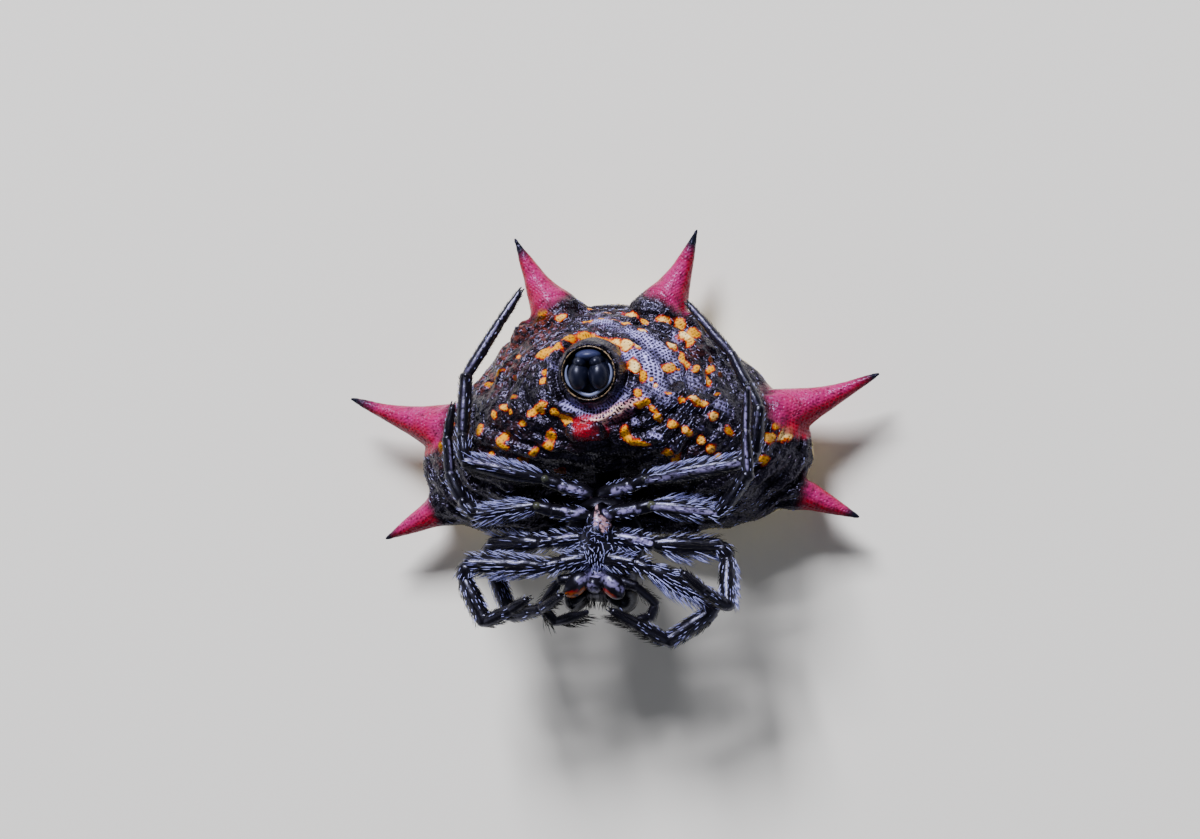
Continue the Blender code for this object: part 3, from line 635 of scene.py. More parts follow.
def shield_shape(rows):
    """Turn a unit sphere into shield and belly."""
    share = np.minimum(1.0, np.hypot(rows[:, 0], rows[:, 1]))
    edge_x, edge_y = shield_edge(np.arctan2(rows[:, 1], rows[:, 0]))
    x, y = edge_x * share, edge_y * share
    above = rows[:, 2] >= 0.0
    y = np.where(above, y + SUMMIT_Y * (1.0 - share) ** 1.5, y)
    dome = RIM_HEIGHT + VENTER_HEIGHT * np.maximum(0.0, 1.0 - share ** 2) ** VENTER_FULLNESS
    bay = BAY_FLOOR + (dome - BAY_FLOOR) * ease(BAY_Y[0], BAY_Y[1], y)
    belly = np.minimum(dome, bay + (dome - bay) * ease(BAY_X[0], BAY_X[1], np.abs(x)))
    slope = np.maximum(0.0, (share - CROWN_SHARE) / (1.0 - CROWN_SHARE))
    back = RIM_HEIGHT * (1.0 - np.sqrt(np.maximum(0.0, 1.0 - slope ** 2)))
    return np.stack((x, y, np.where(above, belly, back)), axis=1)


def spine_axes():
    """Each spine's name, axis points and radii, both sides."""
    for place, (points, radii) in SPINES.items():
        for side, label in ((1, "right"), (-1, "left")):
            yield f"{place}_{label}", [(side * x, y, z) for x, y, z in points], radii


def spine_share(rows):
    """How far along a spine's crimson each point lies, 0 off the spines, 1 at a tip."""
    best = np.zeros(len(rows))
    for name, points, radii in spine_axes():
        first = CRIMSON_FROM[name.split("_")[0]]
        line = along_curve(points, 40)
        reach = along_curve([(r, 0.0, 0.0) for r in radii], 40)[:, 0]
        gaps = np.linalg.norm(rows[:, None, :] - line[None, :, :], axis=2)
        nearest = gaps.argmin(axis=1)
        inside = reach[nearest] - gaps[np.arange(len(rows)), nearest]
        share = np.maximum(0.0, nearest / 39.0 - first) / (1.0 - first)
        best = np.maximum(best, share * ease(-0.32, -0.1, inside))
    return best


def turned_ring(profile, steps=96):
    """A wall turned about the turret's axis, from its outline."""
    rows = [(r, 0.0, z) for r, z in profile]
    obj = plain_mesh("ring", rows, [])
    work = bmesh.new()
    work.from_mesh(obj.data)
    work.verts.ensure_lookup_table()
    for a, b in zip(work.verts[:-1], work.verts[1:]):
        work.edges.new((a, b))
    work.to_mesh(obj.data)
    work.free()
    apply_step(obj, "SCREW", {
        "axis": "Z", "steps": steps, "render_steps": steps, "use_merge_vertices": True,
        "merge_threshold": 0.0001})
    weld(obj)
    rows = points_of(obj)
    rows[:, 1] += SUMMIT_Y
    set_points(obj, rows)
    return obj


def belly_flow(rows):
    """Distance from the summit in long ovals. Folds and wrinkles follow its contours."""
    across, along, deep = rows[:, 0] / FLOW_STRETCH, rows[:, 1] - SUMMIT_Y, 3.7 - rows[:, 2]
    down = np.sqrt(across ** 2 + along ** 2 + deep ** 2)
    return down + 0.12 * ripple(rows, 1.6, 3) + 0.04 * ripple(rows, 0.55, 4)


def fold_wave(rows, shield):
    """The long oval folds of the belly, 1 on a crest and -1 in a furrow."""
    swell = 0.5 - 0.5 * np.sin(2.0 * pi * belly_flow(rows) / (shield.ridge_pitch * MM))
    return 1.0 - 2.0 * swell ** 1.7


def relief(rows, normals, places, shield):
    """Height of the ridges, folds and grooves of the belly at each point."""
    from_axis = np.hypot(rows[:, 0], rows[:, 1] - SUMMIT_Y)
    belly = ease(0.05, 0.45, normals[:, 2]) * ease(0.9, 1.3, rows[:, 2])
    patchy = np.clip(0.75 + 0.65 * ripple(rows, 0.9, 5), 0.1, 1.5)
    height = shield.ridge * MM * fold_wave(rows, shield) * patchy * ease(1.0, 1.3, from_axis)
    height += 0.02 * ripple(rows, 0.22, 7)
    for start, end, radius, rise in RIDGES:
        height += rise * np.exp(-(1.0 - capsule_share(places, start, end, radius)) ** 2)
    height += 0.09 * np.exp(-((from_axis - 1.07) / 0.1) ** 2)
    height -= 0.1 * np.exp(-((from_axis - 0.9) / 0.055) ** 2)
    height *= belly
    height += 0.035 * ripple(rows, 0.8, 8) * ease(1.1, 2.0, from_axis)
    height += 0.012 * ripple(rows, 0.3, 9) * (1.0 - belly)
    return height


def capsule_share(places, start, end, radius):
    """1 on a line in the picture, falling to 0 at the radius, and below 0 outside."""
    a, b = np.array(start, float), np.array(end, float)
    line = b - a
    t = np.clip(((places - a) @ line) / max(1e-9, line @ line), 0.0, 1.0)
    gap = np.linalg.norm(places - (a + t[:, None] * line), axis=1)
    return 1.0 - gap / radius


def facing_point(rows, normals, places, px, py):
    """The point of the belly side nearest to this pixel."""
    gap = np.hypot(places[:, 0] - px, places[:, 1] - py)
    gap = gap + np.where(normals[:, 2] > 0.05, 0.0, 400.0) - rows[:, 2] * 1.5
    return int(gap.argmin())


def spot_fields(rows, normals, places):
    """For each point, how deep it lies in a spot and how pale that spot is; below 0 the spot is painted in
    shade.
    """
    depth = np.full(len(rows), -1.0)
    pale = np.zeros(len(rows))
    right, up, _ = picture_axes()
    wobble = 0.2 * ripple(rows, 0.26, 31)
    for px, py, half, thick, turn, cream in SPOTS:
        root = facing_point(rows, normals, places, px, py)
        way = right * cos(radians(turn)) + up * sin(radians(turn))
        side = up * cos(radians(turn)) - right * sin(radians(turn))
        normal = normals[root]
        way = way - normal * (way @ normal)
        side = side - normal * (side @ normal)
        way /= np.linalg.norm(way)
        side /= np.linalg.norm(side)
        gap = rows - rows[root]
        a = gap @ way / (half * SPOT_SCALE * PIXEL)
        b = gap @ side / (thick * SPOT_SCALE * PIXEL)
        c = gap @ normal / (2.0 * half * PIXEL)
        share = 1.0 - np.sqrt(a * a + b * b + c * c) + wobble
        pale = np.where(share > depth, cream, pale)
        depth = np.maximum(depth, share)
    return depth, pale


def band_field(places, bands):
    """Soft bands in the picture, each along a line between two pixels."""
    total = np.zeros(len(places))
    for start, end, radius, strength in bands:
        gap = 1.0 - capsule_share(places, start, end, radius)
        total = np.maximum(total, strength * np.exp(-gap ** 2))
    return total


def blob_field(places, blobs):
    """Soft round areas in the picture."""
    total = np.zeros(len(places))
    for px, py, radius, strength in blobs:
        gap = np.hypot(places[:, 0] - px, places[:, 1] - py)
        total = np.maximum(total, strength * np.exp(-(gap / radius) ** 2))
    return total


def sigilla_field(rows):
    """Dark sunken ovals of the back: a row along each edge and four in the middle."""
    depth = np.full(len(rows), -1.0)
    centres = []
    for angle in np.radians(np.arange(18.0, 163.0, 16.0)):
        centres.append((angle, 0.86, 0.26, 0.15))
    for angle in np.radians(np.arange(200.0, 341.0, 20.0)):
        centres.append((angle, 0.84, 0.3, 0.17))
    edge_x, edge_y = shield_edge(np.array([row[0] for row in centres]))
    ovals = [(x * share, y * share, half, thick)
             for x, y, (_, share, half, thick) in zip(edge_x, edge_y, centres)]
    for side in (-1, 1):
        ovals += [(side * 0.55, 0.5, 0.16, 0.16), (side * 0.75, -0.7, 0.22, 0.2)]
    for x, y, half, thick in ovals:
        a = (rows[:, 0] - x) / half
        b = (rows[:, 1] - y) / thick
        depth = np.maximum(depth, 1.0 - np.sqrt(a * a + b * b))
    return depth


class SPIDER_OT_shield(bpy.types.Operator):
    """Shield, belly and spines as one skin with its relief and markings"""
    bl_idname = "spider.shield"
    bl_label = "Shield and spines"

    def execute(self, context):
        shield = context.scene.spider_shield
        forms = [ball("shield", (0.0, 0.0, 0.0), (1.0, 1.0, 1.0), 220, 110, shield_shape)]
        for name, points, radii in spine_axes():
            line = along_curve([(*p, r) for p, r in zip(points, radii)], 48)
            forms.append(tube(name, line[:, :3], line[:, 3], 6))
        turret = (
            (0.0, TURRET_TOP - CUP_DEPTH - 0.12), (CUP_RADIUS - 0.03, TURRET_TOP - CUP_DEPTH - 0.12),
            (CUP_RADIUS, TURRET_TOP - 0.1), (CUP_RADIUS + 0.04, TURRET_TOP - 0.03),
            (TURRET_RADIUS - 0.05, TURRET_TOP - 0.12), (TURRET_RADIUS, TURRET_TOP - 0.3),
            (TURRET_RADIUS + 0.06, TURRET_TOP - 0.7), (0.0, TURRET_TOP - 0.9))
        forms.append(turned_ring(turret))
        forms.append(ball("tubercle", *TUBERCLE))
        forms.append(ball("furrow_fold", *FURROW_FOLD))
        for side in (-1, 1):
            for (x, y, z), semi in (LUNG, HAUNCH):
                forms.append(ball("swelling", (side * x, y, z), semi))
        skin = join(forms)
        apply_step(skin, "REMESH", {"mode": "VOXEL", "voxel_size": shield.grain * MM})
        apply_step(skin, "SMOOTH", {"factor": 0.5, "iterations": 10})
        rows, normals = points_of(skin), normals_of(skin)
        spine = spine_share(rows)
        places = picture_place(rows)
        depth, pale = spot_fields(rows, normals, places)
        height = relief(rows, normals, places, shield) * (1.0 - 0.85 * ease(0.0, 0.3, spine))
        height += 0.025 * ease(-0.1, 0.5, depth)
        sigilla = np.where(rows[:, 2] < 0.95, sigilla_field(rows), -1.0)
        height -= 0.04 * ease(0.0, 0.5, sigilla)
        keep_value(skin, "flow", belly_flow(rows))
        # The crests of the long folds, where the shader paints sheen and glints
        keep_value(skin, "crest", ease(-0.9, 0.7, fold_wave(rows, shield)))
        # Painted light: the share of each point that faces the key light, up and to the rear, which the shader
        # paints magenta on the spines
        keep_value(skin, "lit_flank", ease(0.3, 0.95, normals @ np.array((0.0, 0.55, 0.83))))
        rows = rows + normals * height[:, None]
        rows[:, 2] = np.maximum(rows[:, 2], 0.0)
        set_points(skin, rows)
        # Painted sheen: the lavender wax bands, lit glints included, partly the wax's own colour
        wax_and_sheen = band_field(places, WAX_AND_SHEEN_BANDS) * ease(0.0, 0.4, normals[:, 2])
        from_axis = np.hypot(rows[:, 0], rows[:, 1] - SUMMIT_Y)
        collar = ease(0.84, 0.95, from_axis)
        wax_and_sheen *= ease(0.7, 0.8, from_axis)
        rust = blob_field(places, RUSTS) * ease(-0.1, 0.3, normals[:, 2]) * collar
        gap = (rows - np.array(TUBERCLE[0]) - (0.0, 0.06, 0.15)) / (0.46, 0.4, 0.5)
        red = ease(1.3, 0.85, np.linalg.norm(gap, axis=1)) * ease(-0.4, 0.2, normals[:, 2])
        red *= ease(443.0, 433.0, places[:, 1])
        back = ease(0.25, -0.15, normals[:, 2]) * ease(1.25, 0.9, rows[:, 2])
        keep_value(skin, "spot_depth", depth)
        keep_value(skin, "spot_pale_and_shade", pale)
        keep_value(skin, "wax_and_sheen", wax_and_sheen)
        keep_value(skin, "rust", rust)
        keep_value(skin, "tubercle", red)
        # The streak's marking, and the painted highlight on the tubercle
        keep_value(skin, "streak_and_highlight", np.where(normals[:, 2] > 0.0, band_field(places, STREAK_AND_HIGHLIGHT), 0.0))
        keep_value(skin, "spine", spine)
        keep_value(skin, "back", back * (1.0 - ease(0.0, 0.15, spine)))
        keep_value(skin, "sigilla", sigilla)
        hand_over(skin, "shield_skin", shell_cuticle(shield), ["abdomen"])
        return {"FINISHED"}


# Materials


def add_node(tree, kind, settings, links=None):
    """Add one node, set its properties and socket values, and link its inputs."""
    node = tree.nodes.new(kind)
    for key, value in settings.items():
        if isinstance(key, int) or key in node.inputs:
            node.inputs[key].default_value = value
        else:
            setattr(node, key, value)
    for key, source in (links or {}).items():
        tree.links.new(source, node.inputs[key])
    return node


def new_material(name, settings, pitches=None, fields=()):
    """A material with its shader's sockets set, and the named values its patterns read: noises
    by their pitch in metres and fields stored on the mesh. Returns it, its node tree, its
    shader and the values."""
    material = bpy.data.materials.new(name)
    material.use_nodes = True
    tree = material.node_tree
    shader = tree.nodes["Principled BSDF"]
    for key, value in settings.items():
        shader.inputs[key].default_value = value
    values = {"place": add_node(tree, "ShaderNodeTexCoord", {}).outputs["Object"]}
    for key, pitch in (pitches or {}).items():
        values[key] = add_node(tree, "ShaderNodeTexNoise", {"Scale": 1.0 / pitch, "Detail": 3.0},
                               {"Vector": values["place"]}).outputs["Fac"]
    for key in fields:
        values[key] = add_node(tree, "ShaderNodeAttribute", {"attribute_name": key}).outputs["Fac"]
    return material, tree, shader, values


def mask(tree, values, terms, low, high, top=1.0):
    """Share that eases from 0 to top while a weighted sum of values goes from low to high."""
    total = None
    for name, factor in terms.items():
        links = {0: values[name]}
        if total is not None:
            links[2] = total
        total = add_node(tree, "ShaderNodeMath", {"operation": "MULTIPLY_ADD", 1: factor, 2: 0.0},
                         links).outputs[0]
    return add_node(tree, "ShaderNodeMapRange", {
        "interpolation_type": "SMOOTHSTEP", "From Min": low, "From Max": high, "To Min": 0.0,
        "To Max": top}, {"Value": total}).outputs["Result"]


def layered(tree, values, colour, layers):
    """Lay colours over a first one. A layer is its colour and masks that are multiplied."""
    for tint, *masks in layers:
        share = None
        for terms, *limits in masks:
            other = mask(tree, values, terms, *limits)
            share = other if share is None else add_node(
                tree, "ShaderNodeMath", {"operation": "MULTIPLY"}, {0: share, 1: other}).outputs[0]
        settings, links = {"data_type": "RGBA"}, {0: share}
        for index, value in ((6, colour), (7, tint)):
            if isinstance(value, bpy.types.NodeSocket):
                links[index] = value
            else:
                plain = from_hex(value) if isinstance(value, str) else value
                settings[index] = (*plain[:3], 1.0)
        colour = add_node(tree, "ShaderNodeMix", settings, links).outputs[2]
    return colour


def pit_rows(tree, values, pitch):
    """Distance from the middle of the nearest pit, in shares of the pitch. The pits stand in
    staggered wavy rings round the summit."""
    parts = add_node(tree, "ShaderNodeSeparateXYZ", {}, {"Vector": values["place"]})
    down = add_node(tree, "ShaderNodeVectorMath", {
        "operation": "DISTANCE", 1: (0.0, SUMMIT_Y / MM, 3.7 / MM)}, {0: values["place"]})
    found = {"x": parts.outputs["X"], "y": parts.outputs["Y"], "down": down.outputs["Value"], **values}
    for name, operation, *inputs in (
            ("along", "SUBTRACT", "y", SUMMIT_Y / MM), ("turn", "ARCTAN2", "along", "x"),
            ("lap", "DIVIDE", "turn", 2.0 * pi), ("wavy", "MULTIPLY_ADD", "blotch", 5.0, "fine"),
            ("level", "MULTIPLY_ADD", "down", 1.0 / pitch, "wavy"),
            ("row", "FLOOR", "level"), ("ring", "MULTIPLY", "row", 2.0 * pi),
            ("count", "FLOOR", "ring"), ("spot", "MULTIPLY", "lap", "count"),
            ("staggered", "MULTIPLY_ADD", "row", 0.5, "spot"),
            ("u", "FRACT", "level"), ("v", "FRACT", "staggered")):
        links = {i: found[item] for i, item in enumerate(inputs) if isinstance(item, str)}
        numbers = {i: item for i, item in enumerate(inputs) if not isinstance(item, str)}
        found[name] = add_node(tree, "ShaderNodeMath", {"operation": operation, **numbers},
                               links).outputs[0]
    cell = add_node(tree, "ShaderNodeCombineXYZ", {}, {"X": found["u"], "Y": found["v"]})
    return add_node(tree, "ShaderNodeVectorMath", {"operation": "DISTANCE", 1: (0.5, 0.5, 0.0)},
                    {0: cell.outputs[0]}).outputs["Value"]


def shell_cuticle(shield):
    """Hard sclerotised cuticle, granular and waxed: near black with a violet cast and many
    small glints, with pigment spots under a clear skin and pits in rows along the folds. Light
    is painted into some of its colour: lavender sheen on the wax, pale glints on the wrinkle
    crests, magenta on the spines' lit flanks, a highlight on the tubercle and shade on some
    spots. The pits are drawn a quarter coarser than the real ones, which would be lost in the
    render."""
    material, tree, shader, values = new_material(
        "shell_cuticle", {"IOR": 1.54, "Specular Tint": (0.6, 0.56, 1.0, 1.0)},
        {"blotch": 0.0005, "fine": 0.00012, "grit": 0.00005},
        ("flow", "crest", "lit_flank", "spot_depth", "spot_pale_and_shade", "wax_and_sheen", "rust", "tubercle",
         "streak_and_highlight", "spine", "back", "sigilla"))
    values["pits"] = pit_rows(tree, values, shield.pit_pitch)
    phase = add_node(tree, "ShaderNodeMath", {
        "operation": "MULTIPLY", 1: 2.0 * pi / (shield.wrinkle_pitch * MM)}, {0: values["flow"]})
    phase = add_node(tree, "ShaderNodeMath", {"operation": "MULTIPLY_ADD", 1: 9.0},
                     {0: values["fine"], 2: phase.outputs[0]})
    values["wave"] = add_node(tree, "ShaderNodeMath", {"operation": "SINE"},
                              {0: phase.outputs[0]}).outputs[0]
    spot = {"spot_depth": 1.0, "fine": 0.8, "grit": 0.6}
    spine = {"spine": 1.0, "blotch": 0.2}
    flesh = layered(tree, values, shield.crimson, (
        # Painted light: magenta on the spines' flanks that face the light
        (shield.magenta, ({"lit_flank": 1.0, "blotch": 1.6}, 1.0, 2.0)),
        ("#b04a72", ({"pits": 1.0, "fine": 0.5}, 0.55, 0.85, 0.25)),
        ("#4a0218", ({"fine": 1.0, "grit": 0.6}, 0.8, 1.05, 0.75)),
    ))
    under = layered(tree, values, shield.back, (("#2a130c", ({"sigilla": 1.0}, 0.0, 0.25)),))
    colour = layered(tree, values, shield.shell, (
        ("#050406", ({"blotch": 1.0}, 0.35, 0.7, 0.6)),
        (shield.rust, ({"rust": 1.0, "blotch": 0.3}, 0.25, 1.1, 0.85), ({"fine": 1.0}, 0.42, 0.62)),
        # Lavender wax on the fold crests and between the pits, partly painted sheen
        ("#4a4370", ({"wax_and_sheen": 1.0, "fine": 0.4}, 0.5, 1.1, 0.3), ({"crest": 1.0}, -0.6, 0.8)),
        (shield.wax_and_sheen, ({"wax_and_sheen": 1.0, "fine": 0.9, "blotch": 0.9}, 1.2, 1.95),
         ({"crest": 1.0}, -0.5, 0.9), ({"pits": 1.0, "grit": 0.2}, 0.4, 0.58)),
        # Painted glints: pale dashes on the crests of the fine wrinkles
        ("#9c8fb4", ({"wave": 1.0}, 0.0, 1.0, 0.12), ({"crest": 1.0}, 0.0, 1.0),
         ({"fine": 1.0}, 0.5, 0.7)),
        ("#9a041c", ({"tubercle": 1.0, "fine": 0.3}, 0.3, 1.0, 0.95)),
        # Pink and cream of the streak, and the painted highlight on the tubercle
        ("#b8688c", ({"streak_and_highlight": 1.0, "fine": 0.6}, 0.6, 1.1, 0.9),
         ({"pits": 1.0, "grit": 0.2}, 0.3, 0.5)),
        ("#ffe2d0", ({"streak_and_highlight": 1.0, "fine": 1.2, "blotch": 0.6}, 1.35, 2.1),
         ({"pits": 1.0, "grit": 0.4}, 0.42, 0.66)),
        (shield.spot_edge, (spot, 0.5, 0.8)),
        (shield.spot, (spot, 0.68, 1.05)),
        (shield.cream, ({"spot_pale_and_shade": 1.0, "fine": 0.4}, 0.2, 1.2), (spot, 0.8, 1.2)),
        # Painted shade: spots of negative paleness turn a darker brown
        ("#4a2706", ({"spot_pale_and_shade": -1.0}, 0.0, 0.5), (spot, 0.6, 0.8)),
        ("#2a1206", ({"pits": 1.0}, 0.24, 0.1, 0.8), (spot, 0.6, 0.8)),
        ("#3a0b16", (spine, 0.14, 0.26, 0.8)),
        (flesh, (spine, 0.18, 0.36)),
        (shield.tip, (spine, 0.78, 1.0)),
        (under, ({"back": 1.0}, 0.0, 1.0)),
    ))
    tree.links.new(colour, shader.inputs["Base Color"])
    rough = add_node(tree, "ShaderNodeMapRange", {"To Min": 0.18, "To Max": 0.4},
                     {"Value": values["fine"]})
    tree.links.new(rough.outputs["Result"], shader.inputs["Roughness"])
    matt = add_node(tree, "ShaderNodeMath", {"operation": "MAXIMUM"}, {
        0: mask(tree, values, spot, 0.6, 0.8), 1: mask(tree, values, spine, 0.18, 0.36, 0.5)})
    shine = add_node(tree, "ShaderNodeMapRange", {"To Min": 0.36, "To Max": 0.06},
                     {"Value": matt.outputs[0]})
    tree.links.new(shine.outputs["Result"], shader.inputs["Specular IOR Level"])
    grain = add_node(tree, "ShaderNodeMath", {"operation": "MULTIPLY_ADD", 1: 0.6}, {
        0: values["fine"], 2: mask(tree, values, {"pits": 1.0, "grit": 0.2}, 0.2, 0.56)})
    grain = add_node(tree, "ShaderNodeMath", {"operation": "MULTIPLY_ADD"}, {
        0: values["wave"], 1: mask(tree, values, {"spine": -1.0}, -0.3, 0.0, 0.25),
        2: grain.outputs[0]})
    bump = add_node(tree, "ShaderNodeBump", {"Strength": 0.7, "Distance": 0.000014},
                    {"Height": grain.outputs[0]})
    tree.links.new(bump.outputs["Normal"], shader.inputs["Normal"])
    return material


def limb_cuticle(limbs):
    """Thin black cuticle, satin, with fine cross wrinkles and pale marks: pigment, and painted sheen and
    highlights on the legs and endites.
    """
    material, tree, shader, values = new_material(
        "limb_cuticle", {"Roughness": 0.28, "IOR": 1.54, "Specular Tint": (0.62, 0.64, 1.0, 1.0)},
        {"fine": 0.0001, "blotch": 0.0004}, ("joint", "pale", "blaze", "amber", "red"))
    streaks = ({"fine": 1.0}, 0.34, 0.56)
    colour = layered(tree, values, limbs.cuticle, (
        ("#14121d", ({"blotch": 1.0}, 0.4, 0.7, 0.4)),
        (limbs.joint, ({"joint": 1.0, "fine": 0.25}, 0.45, 1.0, 0.8)),
        # Pale marks, partly painted sheen and highlights
        (limbs.pale, ({"pale": 1.0}, 0.1, 0.8, 0.92), streaks),
        (limbs.blaze, ({"blaze": 1.0}, 0.1, 0.7, 0.92), streaks),
        (limbs.amber, ({"amber": 1.0}, 0.3, 0.9, 0.8), streaks),
        ("#8c0a06", ({"red": 1.0}, 0.4, 1.0, 0.8), streaks),
    ))
    tree.links.new(colour, shader.inputs["Base Color"])
    bump = add_node(tree, "ShaderNodeBump", {"Strength": 0.5, "Distance": 0.000012},
                    {"Height": values["fine"]})
    tree.links.new(bump.outputs["Normal"], shader.inputs["Normal"])
    return material


def glossy_sclerite(name, code, gloss):
    """Hard polished cuticle of jaws, claws and spinnerets in the given colour: black, and for the spinnerets a
    blue that is partly painted reflection.
    """
    material, tree, shader, values = new_material(
        name, {"Base Color": from_hex(code), "IOR": 1.55, "Specular IOR Level": 0.35,
               "Specular Tint": (0.7, 0.74, 1.0, 1.0)}, {"fine": 0.00015})
    rough = add_node(tree, "ShaderNodeMapRange", {"To Min": gloss, "To Max": gloss + 0.24},
                     {"Value": values["fine"]})
    tree.links.new(rough.outputs["Result"], shader.inputs["Roughness"])
    bump = add_node(tree, "ShaderNodeBump", {"Strength": 0.25, "Distance": 0.00001},
                    {"Height": values["fine"]})
    tree.links.new(bump.outputs["Normal"], shader.inputs["Normal"])
    return material


def granule_cuticle():
    """Polished beads of black cuticle that catch small lavender glints."""
    return new_material("granule_cuticle", {
        "Base Color": from_hex("#0b0a11"), "Roughness": 0.22, "IOR": 1.6,
        "Specular Tint": (0.7, 0.68, 1.0, 1.0)})[0]


def eye_lens():
    """Clear cuticle lens over a black cup: a very smooth wet black."""
    return new_material("eye_lens", {
        "Base Color": from_hex("#050507"), "Roughness": 0.04, "IOR": 1.5, "Coat Weight": 1.0,
        "Coat Roughness": 0.02})[0]


def rim_cuticle():
    """The cup's thin rim: dark horn with pale worn grains."""
    material, tree, shader, values = new_material(
        "cup_rim", {"Roughness": 0.3, "IOR": 1.55}, {"grain": 0.00006})
    colour = layered(tree, values, "#15110f", (("#8f7a62", ({"grain": 1.0}, 0.44, 0.56)),))
    tree.links.new(colour, shader.inputs["Base Color"])
    return material


def seta_material(name, colour, root_colour, roughness):
    """Hollow chitin bristle: the pale ones scatter light and have a silky sheen."""
    material, tree, shader, values = new_material(
        name, {"Roughness": roughness, "IOR": 1.5}, {"tone": 0.00035})
    tone = layered(tree, values, colour, ((root_colour, ({"tone": 1.0}, 0.4, 0.75)),))
    tree.links.new(tone, shader.inputs["Base Color"])
    return material


# Head end and limbs


def squared(rows):
    """Push a ball's points out towards a rounded box."""
    return np.sign(rows) * np.abs(rows) ** HEAD_SQUARENESS


def flat_bellied(rows):
    rows = rows.copy()
    rows[:, 2] *= np.where(rows[:, 2] > 0.0, CARAPACE_BELLY, 1.0)
    return rows


def stout(rows):
    """A jaw that leans forward and narrows to its end."""
    rows = rows.copy()
    rows[:, 1] -= rows[:, 2] * 0.2
    rows[:, 0] *= 1.0 - 0.12 * ease(0.2, 1.0, rows[:, 2])
    return rows


def shield_plate(rows):
    """A plate that is broad towards the mouth and drawn to a point at the rear."""
    broad = 1.0 - 0.55 * ease(-0.3, 1.0, rows[:, 1]) - 0.2 * ease(0.3, 1.0, -rows[:, 1])
    lobes = 1.0 + 0.05 * np.cos(rows[:, 1] * 9.0)
    return np.stack((rows[:, 0] * broad * lobes, rows[:, 1], rows[:, 2]), axis=1)


def limb_parts(name):
    """Each segment of a limb: its kind, ends and half thicknesses."""
    places = [np.array(view_point(*joint)) for joint in LIMBS[name]]
    segments = PALP_SEGMENTS if name.startswith("palp") else LEG_SEGMENTS
    girth = LEG_GIRTH.get(name[:5], 1.0)
    return [(kind, places[i], places[i + 1], (first * girth, belly * girth, last * girth))
            for i, (kind, first, belly, last) in enumerate(segments)]


def part_radius(t, radii):
    """Half thickness along a segment: narrow neck, swollen belly, flared end."""
    first, belly, last = radii
    swell = np.where(t < 0.4, first + (belly - first) * ease(0.0, 0.4, t),
                     belly + (last - belly) * ease(0.4, 1.0, t))
    neck = 1.0 - 0.16 * np.exp(-(t / 0.07) ** 2)
    flare = 1.0 + 0.03 * np.exp(-((t - 0.93) / 0.05) ** 2)
    return swell * neck * flare


def make_part(name, start, end, radii, first, last):
    """One segment as a closed tube with rounded ends."""
    way = end - start
    length = np.linalg.norm(way)
    way = way / length
    count = max(8, int(length / 0.07))
    shares = np.linspace(0.0, 1.0, count)
    sizes = part_radius(shares, radii)
    points = [start + way * length * t for t in shares]
    low = ((-0.6, 0.8),) if first else ((-0.55, 0.35), (-0.42, 0.68), (-0.22, 0.9))
    high = ((0.3, 0.9), (0.55, 0.6), (0.7, 0.3)) if last else ((0.2, 0.92), (0.38, 0.72), (0.5, 0.4))
    rows = [start + way * sizes[0] * ahead for ahead, _ in low] + points
    rows += [end + way * sizes[-1] * ahead for ahead, _ in high]
    around = [sizes[0] * size for _, size in low] + list(sizes) + [sizes[-1] * size for _, size in high]
    return tube(name, rows, around, 4)


def knob_places():
    """Centre, radius and hornyness of each bare knob at a joint."""
    toward = picture_axes()[2]
    for name, joint, radius, rise, horny in KNOBS:
        yield np.array(view_point(*LIMBS[name][joint])) + toward * rise, radius, horny


def marks_field(rows, places, marks):
    """Strength of capsule marks on the belly side of the head end."""
    total = np.zeros(len(rows))
    for start, end, radius, strength in marks:
        share = capsule_share(places, start, end, radius)
        total = np.maximum(total, strength * ease(-0.5, 0.6, share))
    return np.where(rows[:, 2] > 2.9, total, 0.0)


